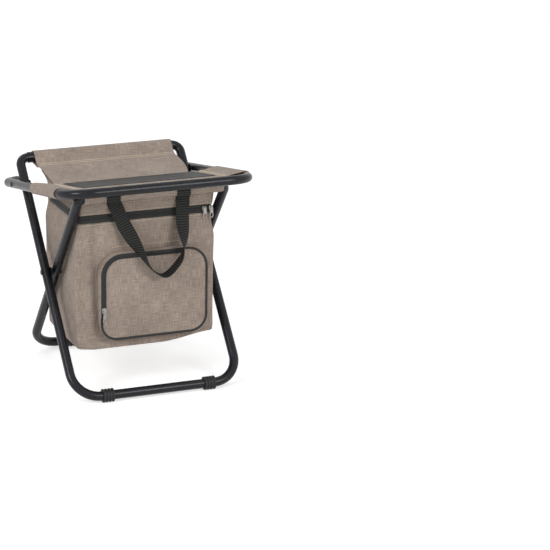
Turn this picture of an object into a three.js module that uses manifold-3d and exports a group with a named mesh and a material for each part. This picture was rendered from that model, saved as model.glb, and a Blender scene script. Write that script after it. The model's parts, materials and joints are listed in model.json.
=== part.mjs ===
// Folding stool with a cooler bag slung between its legs, standing open. Sizes are in millimetres.
// X runs across the stool, the side with the pocket faces -Y, and Z is up from the floor.
import * as THREE from "three";
import { mergeVertices } from "three/addons/utils/BufferGeometryUtils.js";
import Module from "manifold-3d";

const wasm = await Module();
wasm.setup();

// Gaps between pieces
const gap = 0.3;
const slideGap = 0.5;
const cutOverrun = 5;

// Steel tube of the three frames
const tubeRadius = 8.25;
const tubeWall = 1.2;
const tubeSides = 12;
const wideBendSteps = 7;
const tightBendSteps = 5;

// Outer leg frame: lengths are from its crossing with the inner frame
const outerSpan = 304.5;
const outerBelow = 244;
const outerAbove = 226;
const outerLean = THREE.MathUtils.degToRad(41.5);
const outerFloorBend = 47.5;
const outerTopBend = 15;

// Inner leg frame
const innerAbove = 213;
const innerLean = THREE.MathUtils.degToRad(38);
const innerFloorBend = 48;
const innerTopBend = 14;

// Top rails: wider tubes over the turned-in ends of the legs
const railWall = 1.25;
const railInsert = 12;

// Seat frame: a U of tube on rivets in the outer legs
const seatDrop = 50;
const seatReach = 305;
const seatBend = 50;
const seatTail = 46;
const tailTurn = THREE.MathUtils.degToRad(45);
const tailBend = 16;
const tailStub = 32;
const plugCap = 3;
const plugDepth = 12;

// Rivets and washers at the four pivots
const rivetRadius = 3;
const rivetHeadRadius = 5.2;
const rivetHeadHeight = 1.8;
const rivetCrownShare = 0.6;
const washerThickness = 1;
const washerRadius = 8;
const roundSides = 20;

// Ribbed foot sleeves
const footRadius = 12;
const footGroove = 1.4;
const footFlat = 0.75;
const footLength = 20;
const footRibs = 4;
const outerFootGap = 0.75;
const innerFootPlace = 64;

// Fabric, sleeves and seat
const clothWall = 1.4;
const sleeveGap = 0.35;
const rearSleeveInset = 25.25;
const rearSeamForward = 23.75;
const rearSeamDrop = 10.75;
const frontSeamBack = 27;
const frontSeamDrop = 12.4;
const slingDepth = 137;
const slingRearPlace = 117;
const slingSeam = 46;
const slingRise = 3;
const slingClear = 2.3;
const panelLength = 245;
const panelDepth = 117;
const panelThickness = 0.8;
const lidSag = 13;
const lidSteps = 12;
const flapBendShare = 0.55;
const wallTopShares = [0.06, 0.2, 0.35, 0.5, 0.65, 0.8, 0.97];

// Cooler bag
const bagDepth = 180;
const bagHeight = 231;
const bagSetback = 34;
const bagCorner = 16;
const zipDrop = 43;
const zipWidth = 14;
const zipReturn = 22;
const foamWall = 4;
const foilWall = 0.8;
const boardThickness = 3;
const cornerSteps = 5;

// Front pocket
const pocketWidth = 197;
const pocketHeight = 156;
const pocketDepth = 16;
const pocketShift = 9.5;
const pocketLift = 20;
const pocketTopCorner = 38;
const pocketFootCorner = 30;
const pocketTape = 9;
const pipingWidth = 3;
const tapeThickness = 1.5;

// Zip sliders and pulls
const sliderWidth = 8;
const sliderLength = 11;
const sliderThickness = 4;
const mainPullLength = 22;
const pocketPullLength = 28;
const pullWidth = 7;
const pullThickness = 1.5;
const pullHole = 1.9;
const mainSliderStep = 12.3;
const pocketSliderLift = 56;

// Carry handle: one loop of webbing, as shares of its span and drop, left to right
const webbingWidth = 25;
const webbingThickness = 2;
const handleSpan = 128;
const handleSeamDrop = 5;
const handleDrop = 137;
const handleLean = 23;
const handleSteps = 36;
const handlePathShares = [
  [-0.5, 0],
  [-0.375, -0.27],
  [-0.25, -0.52],
  [-0.16, -0.68],
  [-0.075, -0.825],
  [0.03, -0.935],
  [0.15, -1],
  [0.25, -0.965],
  [0.34, -0.88],
  [0.43, -0.76],
  [0.475, -0.62],
  [0.49, -0.4],
  [0.5, 0],
];
const twistStartShare = 0.28;
const twistFullShare = 0.88;

// Heights and places that follow from the sizes above
const outerHalf = outerSpan / 2;
const outerFootPlace = outerHalf - outerFloorBend - footLength / 2 - outerFootGap;
const rearSleeveHalf = outerHalf - rearSleeveInset;
const pivotStep = 2 * tubeRadius + washerThickness + 2 * gap;
const innerHalf = outerHalf - pivotStep;
const seatHalf = outerHalf + pivotStep;
const railRadius = tubeRadius + gap + railWall;
const footRailHeight = footRadius - footFlat;
const crossHeight = footRailHeight + outerBelow * Math.cos(outerLean);
const innerBelow = (crossHeight - footRailHeight) / Math.cos(innerLean);
const sleeveHole = railRadius + sleeveGap;
const sleeveRadius = sleeveHole + clothWall;
const slingHole = tubeRadius + sleeveGap;
const slingSleeve = slingHole + clothWall;

// Points in the side view, as (y, z)
const side = (y, z) => new THREE.Vector2(y, z);
const rearRail = side(outerAbove * Math.sin(outerLean), crossHeight + outerAbove * Math.cos(outerLean));
const frontRail = side(-innerAbove * Math.sin(innerLean), crossHeight + innerAbove * Math.cos(innerLean));
const seatPivotReach = outerAbove - seatDrop;
const seatPivot = side(
  seatPivotReach * Math.sin(outerLean),
  crossHeight + seatPivotReach * Math.cos(outerLean),
);
const rearSeam = rearRail.clone().add(side(-rearSeamForward, -rearSeamDrop));
const frontSeam = frontRail.clone().add(side(frontSeamBack, -frontSeamDrop));

// The seat frame tilts up until its sling clears the sleeve of the front top rail
const seatClearance = sleeveRadius + slingClear + clothWall / 2 - slingRise;
const pivotToRail = frontRail.clone().sub(seatPivot);
const seatRise =
  Math.atan2(pivotToRail.y, -pivotToRail.x) + Math.asin(seatClearance / pivotToRail.length());

const steel = { color: 0x17181a, roughness: 0.38, metalness: 0.6 };
const rivetSteel = { color: 0x1d1e20, roughness: 0.3, metalness: 0.8 };
const blackPlastic = { color: 0x121213, roughness: 0.7, metalness: 0 };
const cloth = { color: 0x9a8878, roughness: 0.95, metalness: 0 };
const coatedCloth = { color: 0x2b2c2e, roughness: 0.45, metalness: 0 };
const zipCloth = { color: 0x1c1d1c, roughness: 0.8, metalness: 0 };
const webbingCloth = { color: 0x2e2f2e, roughness: 0.85, metalness: 0 };
const foil = { color: 0xb9bcc0, roughness: 0.35, metalness: 0.7 };
const foam = { color: 0xe8e8e4, roughness: 0.9, metalness: 0 };
const board = { color: 0x6b6560, roughness: 0.9, metalness: 0 };

const stool = new THREE.Group();

function addMesh(name, geometry, finish, parent) {
  const mesh = new THREE.Mesh(geometry, new THREE.MeshStandardMaterial(finish));
  mesh.name = name;
  parent.add(mesh);
  return mesh;
}

// A closed three.js geometry as a solid that can be cut and joined
function solid(geometry) {
  const plain = geometry.clone();
  plain.deleteAttribute("normal");
  plain.deleteAttribute("uv");
  const merged = mergeVertices(plain);
  return new wasm.Manifold(
    new wasm.Mesh({
      numProp: 3,
      vertProperties: merged.attributes.position.array,
      triVerts: new Uint32Array(merged.index.array),
    }),
  );
}

function geometryOf(made) {
  const mesh = made.getMesh();
  const geometry = new THREE.BufferGeometry();
  geometry.setAttribute("position", new THREE.BufferAttribute(mesh.vertProperties, 3));
  geometry.setIndex(new THREE.BufferAttribute(mesh.triVerts, 1));
  geometry.computeVertexNormals();
  return geometry;
}

// Turns drawn shapes so that their depth runs up, across or forward
const acrossTurn = new THREE.Matrix4().set(0, 0, 1, 0, 1, 0, 0, 0, 0, 1, 0, 0, 0, 0, 0, 1);
const forwardTurn = new THREE.Matrix4().makeRotationX(Math.PI / 2);

function extrude(shape, depth) {
  return new THREE.ExtrudeGeometry(shape, { depth, bevelEnabled: false, curveSegments: cornerSteps });
}

function extrudeUp(shape, low, high) {
  return extrude(shape, high - low).translate(0, 0, low);
}

// A side view outline in (y, z), carried across from x = low to x = high
function extrudeAcross(points, low, high) {
  return extrude(new THREE.Shape(points), high - low).translate(0, 0, low).applyMatrix4(acrossTurn);
}

// A front view outline in (x, z), carried forward from y = back by a depth
function extrudeForward(shape, back, depth) {
  return extrude(shape, depth).applyMatrix4(forwardTurn).translate(0, back, 0);
}

function box(low, high) {
  const size = high.clone().sub(low);
  const middle = high.clone().add(low).divideScalar(2);
  return new THREE.BoxGeometry(size.x, size.y, size.z).translate(middle.x, middle.y, middle.z);
}

// A rectangle with rounded corners from (x0, y0) to (x1, y1), its lower and upper corner radii given
function roundedRectangle(x0, y0, x1, y1, lowRadius, highRadius) {
  const shape = new THREE.Shape();
  shape.moveTo(x0 + lowRadius, y0);
  shape.lineTo(x1 - lowRadius, y0);
  shape.absarc(x1 - lowRadius, y0 + lowRadius, lowRadius, -Math.PI / 2, 0);
  shape.lineTo(x1, y1 - highRadius);
  shape.absarc(x1 - highRadius, y1 - highRadius, highRadius, 0, Math.PI / 2);
  shape.lineTo(x0 + highRadius, y1);
  shape.absarc(x0 + highRadius, y1 - highRadius, highRadius, Math.PI / 2, Math.PI);
  shape.lineTo(x0, y0 + lowRadius);
  shape.absarc(x0 + lowRadius, y0 + lowRadius, lowRadius, Math.PI, 1.5 * Math.PI);
  return shape;
}

// The outline of a cloth strip of one thickness along a line of points
function stripOutline(points, thickness) {
  const left = [];
  const right = [];
  points.forEach((point, i) => {
    const before = points[Math.max(i - 1, 0)];
    const after = points[Math.min(i + 1, points.length - 1)];
    const run = after.clone().sub(before).normalize();
    const across = new THREE.Vector2(-run.y, run.x).multiplyScalar(thickness / 2);
    left.push(point.clone().add(across));
    right.unshift(point.clone().sub(across));
  });
  return [...left, ...right];
}

// Points round a ring that ends in a point, as sewn cloth round a tube does in section
function teardrop(centre, radius, tip) {
  const toTip = tip.clone().sub(centre);
  const half = Math.acos(radius / toTip.length());
  const start = toTip.angle() + half;
  const sweep = 2 * Math.PI - 2 * half;
  const points = [tip.clone()];
  for (let i = 0; i <= roundSides; i += 1) {
    const angle = start + (sweep * i) / roundSides;
    points.push(side(centre.x + radius * Math.cos(angle), centre.y + radius * Math.sin(angle)));
  }
  return points;
}

// A path through corner points, each rounded by an arc of its own radius
function roundedPath(corners) {
  const path = [];
  corners.forEach(({ at, radius, steps }, i) => {
    if (!radius) {
      path.push(at.clone());
      return;
    }
    const toBefore = corners[i - 1].at.clone().sub(at).normalize();
    const toAfter = corners[i + 1].at.clone().sub(at).normalize();
    const halfAngle = toBefore.angleTo(toAfter) / 2;
    const bisector = toBefore.clone().add(toAfter).normalize();
    const centre = at.clone().addScaledVector(bisector, radius / Math.sin(halfAngle));
    const reach = radius / Math.tan(halfAngle);
    const first = at.clone().addScaledVector(toBefore, reach).sub(centre);
    const last = at.clone().addScaledVector(toAfter, reach).sub(centre);
    const turn = first.angleTo(last);
    for (let k = 0; k <= steps; k += 1) {
      const share = k / steps;
      const arm = first.clone().multiplyScalar(Math.sin((1 - share) * turn));
      arm.addScaledVector(last, Math.sin(share * turn)).divideScalar(Math.sin(turn));
      path.push(centre.clone().add(arm));
    }
  });
  return path;
}

// Joins rings of points into a closed skin: each ring is bridged to the next, and the last to the first
// where the skin closes on itself, or both ends are capped
function skin(rings, closed) {
  const count = rings[0].length;
  const positions = rings.flat().flatMap((point) => [point.x, point.y, point.z]);
  const indices = [];
  const bridges = closed ? rings.length : rings.length - 1;
  for (let i = 0; i < bridges; i += 1) {
    const here = i * count;
    const next = ((i + 1) % rings.length) * count;
    for (let k = 0; k < count; k += 1) {
      const beside = (k + 1) % count;
      indices.push(here + k, here + beside, next + beside, here + k, next + beside, next + k);
    }
  }
  if (!closed) {
    const last = (rings.length - 1) * count;
    for (let k = 1; k < count - 1; k += 1) {
      indices.push(0, k + 1, k, last, last + k, last + k + 1);
    }
  }
  const geometry = new THREE.BufferGeometry();
  geometry.setAttribute("position", new THREE.Float32BufferAttribute(positions, 3));
  geometry.setIndex(indices);
  geometry.computeVertexNormals();
  return geometry;
}

// A hollow tube along a flat path whose plane has the given normal: the skin runs along the outside
// and back along the bore
function hollowTube(path, normal, outerRadius, innerRadius) {
  const ringAt = (i, radius) => {
    const before = path[Math.max(i - 1, 0)];
    const after = path[Math.min(i + 1, path.length - 1)];
    const across = normal.clone().cross(after.clone().sub(before)).normalize();
    return Array.from({ length: tubeSides }, (_, k) => {
      const angle = (2 * Math.PI * k) / tubeSides;
      const point = path[i].clone().addScaledVector(across, radius * Math.cos(angle));
      return point.addScaledVector(normal, radius * Math.sin(angle));
    });
  };
  const outside = path.map((_, i) => ringAt(i, outerRadius));
  const bore = path.map((_, i) => ringAt(i, innerRadius)).reverse();
  return skin([...outside, ...bore], true);
}

function tube(path, normal) {
  return hollowTube(path, normal, tubeRadius, tubeRadius - tubeWall);
}

// A turned piece: its profile lists (radius, place along X)
function turned(profile, sides) {
  const points = profile.map(([radius, along]) => new THREE.Vector2(radius, along));
  return new THREE.LatheGeometry(points, sides).rotateZ(-Math.PI / 2);
}

// Cuts a rivet hole right through both sides of a frame, on the X axis through (y, z)
function drill(geometry, y, z) {
  const reach = 2 * (seatHalf + tubeRadius + cutOverrun);
  const cutter = new THREE.CylinderGeometry(rivetRadius + gap, rivetRadius + gap, reach, roundSides);
  return geometryOf(solid(geometry).subtract(solid(cutter.rotateZ(Math.PI / 2).translate(0, y, z))));
}

const sides = { left: -1, right: 1 };
const X = new THREE.Vector3(1, 0, 0);
const Y = new THREE.Vector3(0, 1, 0);
const Z = new THREE.Vector3(0, 0, 1);
const at = (x, y, z) => new THREE.Vector3(x, y, z);

// A leg frame in its own plane: legs along Z, floor rail at the bottom, ends turned in at the top
function legFrame(half, below, above, floorBend, topBend) {
  const railEnd = half - topBend - railInsert;
  const corner = (x, z, radius, steps) => ({ at: at(x, 0, z), radius, steps });
  return tube(
    roundedPath([
      corner(-railEnd, above, 0, 0),
      corner(-half, above, topBend, tightBendSteps),
      corner(-half, -below, floorBend, wideBendSteps),
      corner(half, -below, floorBend, wideBendSteps),
      corner(half, above, topBend, tightBendSteps),
      corner(railEnd, above, 0, 0),
    ]),
    Y,
  );
}

function topRail(half, above, topBend) {
  const end = half - topBend;
  return hollowTube([at(-end, 0, above), at(end, 0, above)], Y, railRadius, tubeRadius + gap);
}

// A foot sleeve round the floor rail, ribbed, with its underside cut flat on the floor
function foot(place, railY) {
  const bore = tubeRadius + gap;
  const pitch = footLength / (2 * footRibs - 1);
  const profile = [];
  for (let rib = 0; rib < footRibs; rib += 1) {
    const start = -footLength / 2 + 2 * rib * pitch;
    profile.push([footRadius, start], [footRadius, start + pitch]);
    if (rib < footRibs - 1) {
      profile.push([footRadius - footGroove, start + pitch], [footRadius - footGroove, start + 2 * pitch]);
    }
  }
  profile.push([bore, footLength / 2], [bore, -footLength / 2], profile[0]);
  const sleeve = turned(profile, roundSides).translate(place, railY, footRailHeight);
  const reach = footRadius + footLength;
  const floor = box(at(place - reach, railY - reach, -reach), at(place + reach, railY + reach, 0));
  return geometryOf(solid(sleeve).subtract(solid(floor)));
}

// A rivet through two tubes from its outer head to its inner head, both on the X axis
function rivet(outerFace, innerFace) {
  const outer = outerFace + gap;
  const inner = innerFace - gap;
  return turned(
    [
      [0, inner - rivetHeadHeight],
      [rivetHeadRadius * rivetCrownShare, inner - rivetHeadHeight],
      [rivetHeadRadius, inner - rivetHeadHeight / 2],
      [rivetHeadRadius, inner],
      [rivetRadius, inner],
      [rivetRadius, outer],
      [rivetHeadRadius, outer],
      [rivetHeadRadius, outer + rivetHeadHeight / 2],
      [rivetHeadRadius * rivetCrownShare, outer + rivetHeadHeight],
      [0, outer + rivetHeadHeight],
    ],
    roundSides,
  );
}

function washer(middle) {
  const bore = rivetRadius + gap;
  const half = washerThickness / 2;
  const profile = [
    [bore, middle - half],
    [washerRadius, middle - half],
    [washerRadius, middle + half],
    [bore, middle + half],
    [bore, middle - half],
  ];
  return turned(profile, roundSides);
}

// Outer legs, which lean back from their floor rail in front
function buildOuterLegs() {
  const frame = legFrame(outerHalf, outerBelow, outerAbove, outerFloorBend, outerTopBend);
  const leaning = new THREE.Group();
  leaning.position.set(0, 0, crossHeight);
  leaning.rotation.x = -outerLean;
  stool.add(leaning);
  addMesh("outer_leg_frame", drill(drill(frame, 0, 0), 0, seatPivotReach), steel, leaning);
  addMesh("rear_top_rail", topRail(outerHalf, outerAbove, outerTopBend), steel, leaning);
  const railY = -outerBelow * Math.sin(outerLean);
  for (const [word, sign] of Object.entries(sides)) {
    addMesh(`outer_foot_${word}`, foot(sign * outerFootPlace, railY), blackPlastic, stool);
    const turn = sign < 0 ? Math.PI : 0;
    const pin = rivet(outerHalf + tubeRadius, innerHalf - tubeRadius).rotateZ(turn);
    addMesh(`leg_rivet_${word}`, pin.translate(0, 0, crossHeight), rivetSteel, stool);
    const ring = washer((outerHalf + innerHalf) / 2).rotateZ(turn);
    addMesh(`leg_washer_${word}`, ring.translate(0, 0, crossHeight), blackPlastic, stool);
  }
}

// Inner legs, which lean forward from their floor rail behind
function buildInnerLegs() {
  const frame = legFrame(innerHalf, innerBelow, innerAbove, innerFloorBend, innerTopBend);
  const leaning = new THREE.Group();
  leaning.position.set(0, 0, crossHeight);
  leaning.rotation.x = innerLean;
  stool.add(leaning);
  addMesh("inner_leg_frame", drill(frame, 0, 0), steel, leaning);
  addMesh("front_top_rail", topRail(innerHalf, innerAbove, innerTopBend), steel, leaning);
  const railY = innerBelow * Math.sin(innerLean);
  for (const [word, sign] of Object.entries(sides)) {
    addMesh(`inner_foot_${word}`, foot(sign * innerFootPlace, railY), blackPlastic, stool);
  }
}

// Seat frame in its own plane: arms run forward along -Y from the rivets, tails turn in behind
function buildSeatFrame(seat) {
  const stubIn = tailStub * Math.sin(tailTurn);
  const stubBack = tailStub * Math.cos(tailTurn);
  const corner = (x, y, radius, steps) => ({ at: at(x, y, 0), radius, steps });
  const path = roundedPath([
    corner(-seatHalf + stubIn, seatTail + stubBack, 0, 0),
    corner(-seatHalf, seatTail, tailBend, tightBendSteps),
    corner(-seatHalf, -seatReach, seatBend, wideBendSteps),
    corner(seatHalf, -seatReach, seatBend, wideBendSteps),
    corner(seatHalf, seatTail, tailBend, tightBendSteps),
    corner(seatHalf - stubIn, seatTail + stubBack, 0, 0),
  ]);
  addMesh("seat_frame", drill(tube(path, Z), 0, 0), steel, seat);
  const plugRadius = tubeRadius - tubeWall - gap;
  const plug = turned(
    [
      [0, -plugDepth],
      [plugRadius, -plugDepth],
      [plugRadius, gap],
      [tubeRadius, gap],
      [tubeRadius, gap + plugCap / 2],
      [plugRadius, gap + plugCap],
      [0, gap + plugCap],
    ],
    tubeSides,
  );
  for (const [word, sign] of Object.entries(sides)) {
    const outward = at(-sign * Math.sin(tailTurn), Math.cos(tailTurn), 0);
    const turn = new THREE.Matrix4().makeRotationZ(outward.angleTo(X) * Math.sign(outward.y));
    const end = at(sign * (seatHalf - stubIn), seatTail + stubBack, 0);
    const placed = plug.clone().applyMatrix4(turn).translate(end.x, end.y, end.z);
    addMesh(`seat_plug_${word}`, placed, blackPlastic, seat);
  }
  for (const [word, sign] of Object.entries(sides)) {
    const turn = sign < 0 ? Math.PI : 0;
    const pin = rivet(seatHalf + tubeRadius, outerHalf - tubeRadius).rotateZ(turn);
    addMesh(`seat_rivet_${word}`, pin, rivetSteel, seat);
    const ring = washer((seatHalf + outerHalf) / 2).rotateZ(turn);
    addMesh(`seat_washer_${word}`, ring, blackPlastic, seat);
  }
}

// Seat sling: a taut sheet sewn round both arms, with the coated panel on its top
function buildSling(seat) {
  const seam = seatHalf + tubeRadius - slingSeam;
  const arm = side(-seatHalf, 0);
  const top = slingRise + clothWall / 2;
  const bottom = slingRise - clothWall / 2;
  const upper = teardrop(arm, slingSleeve, side(-seam, top));
  const lower = teardrop(arm, slingSleeve, side(-seam, bottom));
  const loop = [upper[0], ...upper.slice(1, -1), lower[lower.length - 1], lower[0]];
  const mirrored = loop.map((point) => side(-point.x, point.y)).reverse();
  const sling = new THREE.Shape([...loop, ...mirrored]);
  const holeTip = side(-seam - 2 * clothWall, slingRise);
  const hole = teardrop(arm, slingHole, holeTip);
  sling.holes.push(new THREE.Path(hole));
  sling.holes.push(new THREE.Path(hole.map((point) => side(-point.x, point.y))));
  addMesh("seat_sling", extrudeForward(sling, -slingRearPlace, slingDepth), cloth, seat);
  const hem = (slingDepth - panelDepth) / 2;
  const low = at(-panelLength / 2, -slingRearPlace - slingDepth + hem, top + gap);
  const high = at(panelLength / 2, -slingRearPlace - hem, top + gap + panelThickness);
  addMesh("seat_panel", box(low, high), coatedCloth, seat);
}

// The lid hangs between the two seams as a shallow curve
const lidRear = side(rearSeam.x - gap - clothWall, rearSeam.y + clothWall / 2);
const lidFront = side(frontSeam.x + gap + clothWall, frontSeam.y + clothWall / 2);

function lidPoint(share) {
  const sag = lidSag * 4 * share * (1 - share);
  return lidRear.clone().lerp(lidFront, share).sub(side(0, sag));
}

const zipTop = frontRail.y - zipDrop;
const zipBottom = zipTop - zipWidth;
const bagFront = frontRail.x + bagSetback;
const bagRear = bagFront + bagDepth;
const bagBottom = zipBottom - bagHeight;
const bagHalf = innerHalf - tubeRadius - gap - rivetHeadHeight - slideGap;
const lidHalf = bagHalf - slideGap;

function sleeve(name, centre, tip, half) {
  const outline = new THREE.Shape(teardrop(centre, sleeveRadius, tip));
  const inward = centre.clone().sub(tip).setLength(2 * clothWall);
  outline.holes.push(new THREE.Path(teardrop(centre, sleeveHole, tip.clone().add(inward))));
  const geometry = extrude(outline, 2 * half).translate(0, 0, -half).applyMatrix4(acrossTurn);
  addMesh(name, geometry, cloth, stool);
}

function buildLid() {
  sleeve("rear_sleeve", rearRail, rearSeam, rearSleeveHalf);
  sleeve("front_sleeve", frontRail, frontSeam, innerHalf - innerTopBend - slideGap);
  const line = Array.from({ length: lidSteps + 1 }, (_, i) => lidPoint(i / lidSteps));
  addMesh("lid_panel", extrudeAcross(stripOutline(line, clothWall), -lidHalf, lidHalf), cloth, stool);

  const flapTop = side(frontSeam.x, frontSeam.y - gap - clothWall);
  const flapFoot = side(bagFront + clothWall / 2, zipTop + gap + clothWall / 2);
  const bend = flapTop.clone().lerp(flapFoot, flapBendShare).sub(side(0, clothWall));
  const flap = stripOutline([flapTop, bend, flapFoot], clothWall);
  addMesh("front_flap", extrudeAcross(flap, -lidHalf, lidHalf), cloth, stool);

  // Side walls from the zip up to the lid, and the sloping back wall, as one piece
  const foot = zipTop + gap;
  const under = (share) => lidPoint(share).sub(side(0, clothWall + gap));
  const backTop = under(wallTopShares[0]);
  const backFoot = side(bagRear, foot);
  const frontFoot = side(bagFront + 3 * clothWall, foot);
  const wall = [frontFoot, backFoot, ...wallTopShares.map(under)];
  const back = stripOutline([backFoot, backTop], 2 * clothWall);
  const backSheet = solid(extrudeAcross(back, -bagHalf, bagHalf));
  const bounds = solid(extrudeAcross(wall, -bagHalf, bagHalf));
  const leftWall = solid(extrudeAcross(wall, -bagHalf, -bagHalf + clothWall));
  const rightWall = solid(extrudeAcross(wall, bagHalf - clothWall, bagHalf));
  const skirt = leftWall.add(rightWall).add(backSheet.intersect(bounds));
  addMesh("bag_upper_wall", geometryOf(skirt), cloth, stool);
}

// The bag seen from above, drawn in all round by an inset
function bagOutline(inset) {
  const x = bagHalf - inset;
  const radius = Math.max(bagCorner - inset, clothWall);
  return roundedRectangle(-x, bagFront + inset, x, bagRear - inset, radius, radius);
}

// An open box with rounded corners, inset from the bag's outline
function tray(inset, wall, floorThickness, low, high) {
  const outside = solid(extrudeUp(bagOutline(inset), low, high));
  const inside = solid(extrudeUp(bagOutline(inset + wall), low + floorThickness, high + cutOverrun));
  return outside.subtract(inside);
}

function buildBag() {
  const behind = bagRear - zipReturn;
  const wide = bagHalf + cutOverrun;
  const zipCut = (front, low, high) =>
    solid(box(at(-wide, front, low), at(wide, bagRear + cutOverrun, high + cutOverrun)));
  const shellCut = box(
    at(-wide, bagFront - cutOverrun, zipBottom - gap),
    at(wide, behind, zipTop + cutOverrun),
  );
  const shell = tray(0, clothWall, clothWall, bagBottom, zipTop).subtract(solid(shellCut));
  addMesh("bag_shell", geometryOf(shell), cloth, stool);

  const ring = solid(extrudeUp(bagOutline(0), zipBottom, zipTop));
  const bore = solid(extrudeUp(bagOutline(clothWall), zipBottom - cutOverrun, zipTop + cutOverrun));
  const tape = ring.subtract(bore).subtract(zipCut(behind - gap, zipBottom - cutOverrun, zipTop));
  addMesh("main_zip_tape", geometryOf(tape), zipCloth, stool);

  let inset = clothWall + gap;
  let floor = bagBottom + clothWall + gap;
  const boardShape = bagOutline(inset);
  addMesh("base_board", extrudeUp(boardShape, floor, floor + boardThickness), board, stool);
  floor += boardThickness + gap;
  const top = zipBottom - gap;
  addMesh("insulation_foam", geometryOf(tray(inset, foamWall, foamWall, floor, top)), foam, stool);
  inset += foamWall + gap;
  floor += foamWall + gap;
  addMesh("foil_liner", geometryOf(tray(inset, foilWall, foilWall, floor, top)), foil, stool);
}

// The front pocket, open to the bag's front, with its zip tape and piping on its face
const pocketLow = bagBottom + pocketLift;
const pocketHigh = pocketLow + pocketHeight;
const pocketLeft = pocketShift - pocketWidth / 2;
const pocketRight = pocketShift + pocketWidth / 2;
const pocketFace = bagFront - gap - pocketDepth;
const tapeFace = pocketFace - gap - tapeThickness;

function pocketOutline(inset) {
  return roundedRectangle(
    pocketLeft + inset,
    pocketLow + inset,
    pocketRight - inset,
    pocketHigh - inset,
    pocketFootCorner - inset,
    pocketTopCorner - inset,
  );
}

function pocketBand(width, low, high) {
  const ring = solid(extrudeForward(pocketOutline(0), pocketFace - gap, tapeThickness));
  const inner = extrudeForward(pocketOutline(width), pocketFace + cutOverrun, 2 * cutOverrun + tapeThickness);
  return ring.subtract(solid(inner)).intersect(solid(box(low, high)));
}

function buildPocket() {
  const outside = solid(extrudeForward(pocketOutline(0), bagFront - gap, pocketDepth));
  const inside = extrudeForward(pocketOutline(clothWall), bagFront + cutOverrun, pocketDepth + cutOverrun);
  const room = solid(inside.translate(0, clothWall - gap, 0));
  addMesh("pocket_pouch", geometryOf(outside.subtract(room)), cloth, stool);

  const front = tapeFace - cutOverrun;
  const footLevel = pocketLow + pocketFootCorner;
  const topTurn = pocketRight - pocketTopCorner;
  const tapeLow = at(pocketLeft - cutOverrun, front, footLevel);
  const tapeHigh = at(topTurn, pocketFace, pocketHigh + cutOverrun);
  addMesh("pocket_zip_tape", geometryOf(pocketBand(pocketTape, tapeLow, tapeHigh)), zipCloth, stool);
  const whole = pocketBand(
    pipingWidth,
    at(pocketLeft - cutOverrun, front, pocketLow - cutOverrun),
    at(pocketRight + cutOverrun, pocketFace, pocketHigh + cutOverrun),
  );
  const tapeRoom = box(
    at(pocketLeft - cutOverrun, front, footLevel - gap),
    at(topTurn + gap, pocketFace + cutOverrun, pocketHigh + cutOverrun),
  );
  addMesh("pocket_piping", geometryOf(whole.subtract(solid(tapeRoom))), zipCloth, stool);
}

// A zip slider with its pull hanging in front, the pull's ring end at the slider's top
function zipSlider(names, place, face, pullLength) {
  const half = sliderWidth / 2;
  const body = roundedRectangle(-half, -sliderLength / 2, half, sliderLength / 2, half / 2, half / 2);
  const slider = extrudeForward(body, face - gap, sliderThickness);
  addMesh(names.slider, slider.translate(place.x, 0, place.y), rivetSteel, stool);
  const halfPull = pullWidth / 2;
  const top = sliderLength / 2;
  const outline = roundedRectangle(-halfPull, top - pullLength, halfPull, top, halfPull / 2, halfPull / 2);
  const hole = new THREE.Path();
  hole.absarc(0, top - pullLength + halfPull, pullHole, 0, 2 * Math.PI);
  outline.holes.push(hole);
  const pullFace = face - 2 * gap - sliderThickness;
  const pull = extrudeForward(outline, pullFace, pullThickness);
  addMesh(names.pull, pull.translate(place.x, 0, place.y), rivetSteel, stool);
}

function buildZipSliders() {
  const level = (zipTop + zipBottom) / 2;
  const rightPlace = bagHalf - sliderWidth / 2;
  zipSlider(
    { slider: "main_slider_left", pull: "main_pull_left" },
    side(rightPlace - mainSliderStep, level),
    bagFront,
    mainPullLength,
  );
  zipSlider(
    { slider: "main_slider_right", pull: "main_pull_right" },
    side(rightPlace, level),
    bagFront,
    mainPullLength,
  );
  zipSlider(
    { slider: "pocket_slider", pull: "pocket_pull" },
    side(pocketLeft + pocketTape / 2, pocketLow + pocketSliderLift),
    tapeFace,
    pocketPullLength,
  );
}

// The handle lies flat where it is sewn under the front seam, turns edge on towards the bottom of its
// loop, and leans forward there to clear the pocket
function buildHandle() {
  const seamY = frontSeam.x - clothWall - gap - webbingThickness / 2;
  const seamZ = frontSeam.y - handleSeamDrop;
  const points = handlePathShares.map(([x, z]) => at(x * handleSpan, seamY, seamZ + z * handleDrop));
  const curve = new THREE.CatmullRomCurve3(points, false, "centripetal");
  const corners = [
    [-1, -1],
    [1, -1],
    [1, 1],
    [-1, 1],
  ];
  const rings = Array.from({ length: handleSteps + 1 }, (_, i) => {
    const share = i / handleSteps;
    const centre = curve.getPointAt(share);
    const along = curve.getTangentAt(share);
    const drop = (seamZ - centre.z) / handleDrop;
    const twist = THREE.MathUtils.smoothstep(drop, twistStartShare, twistFullShare) * (Math.PI / 2);
    const flat = along.clone().cross(Y).normalize();
    const across = flat.multiplyScalar(Math.cos(twist)).addScaledVector(Y, -Math.sin(twist));
    const through = along.clone().cross(across).normalize();
    centre.y -= handleLean * Math.sin(twist);
    return corners.map(([u, v]) =>
      centre
        .clone()
        .addScaledVector(across, (u * webbingWidth) / 2)
        .addScaledVector(through, (v * webbingThickness) / 2),
    );
  });
  addMesh("carry_handle", skin(rings, false), webbingCloth, stool);
}

buildOuterLegs();
buildInnerLegs();
const seat = new THREE.Group();
seat.position.set(0, seatPivot.x, seatPivot.y);
seat.rotation.x = -seatRise;
stool.add(seat);
buildSeatFrame(seat);
buildSling(seat);
buildLid();
buildBag();
buildPocket();
buildZipSliders();
buildHandle();

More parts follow.
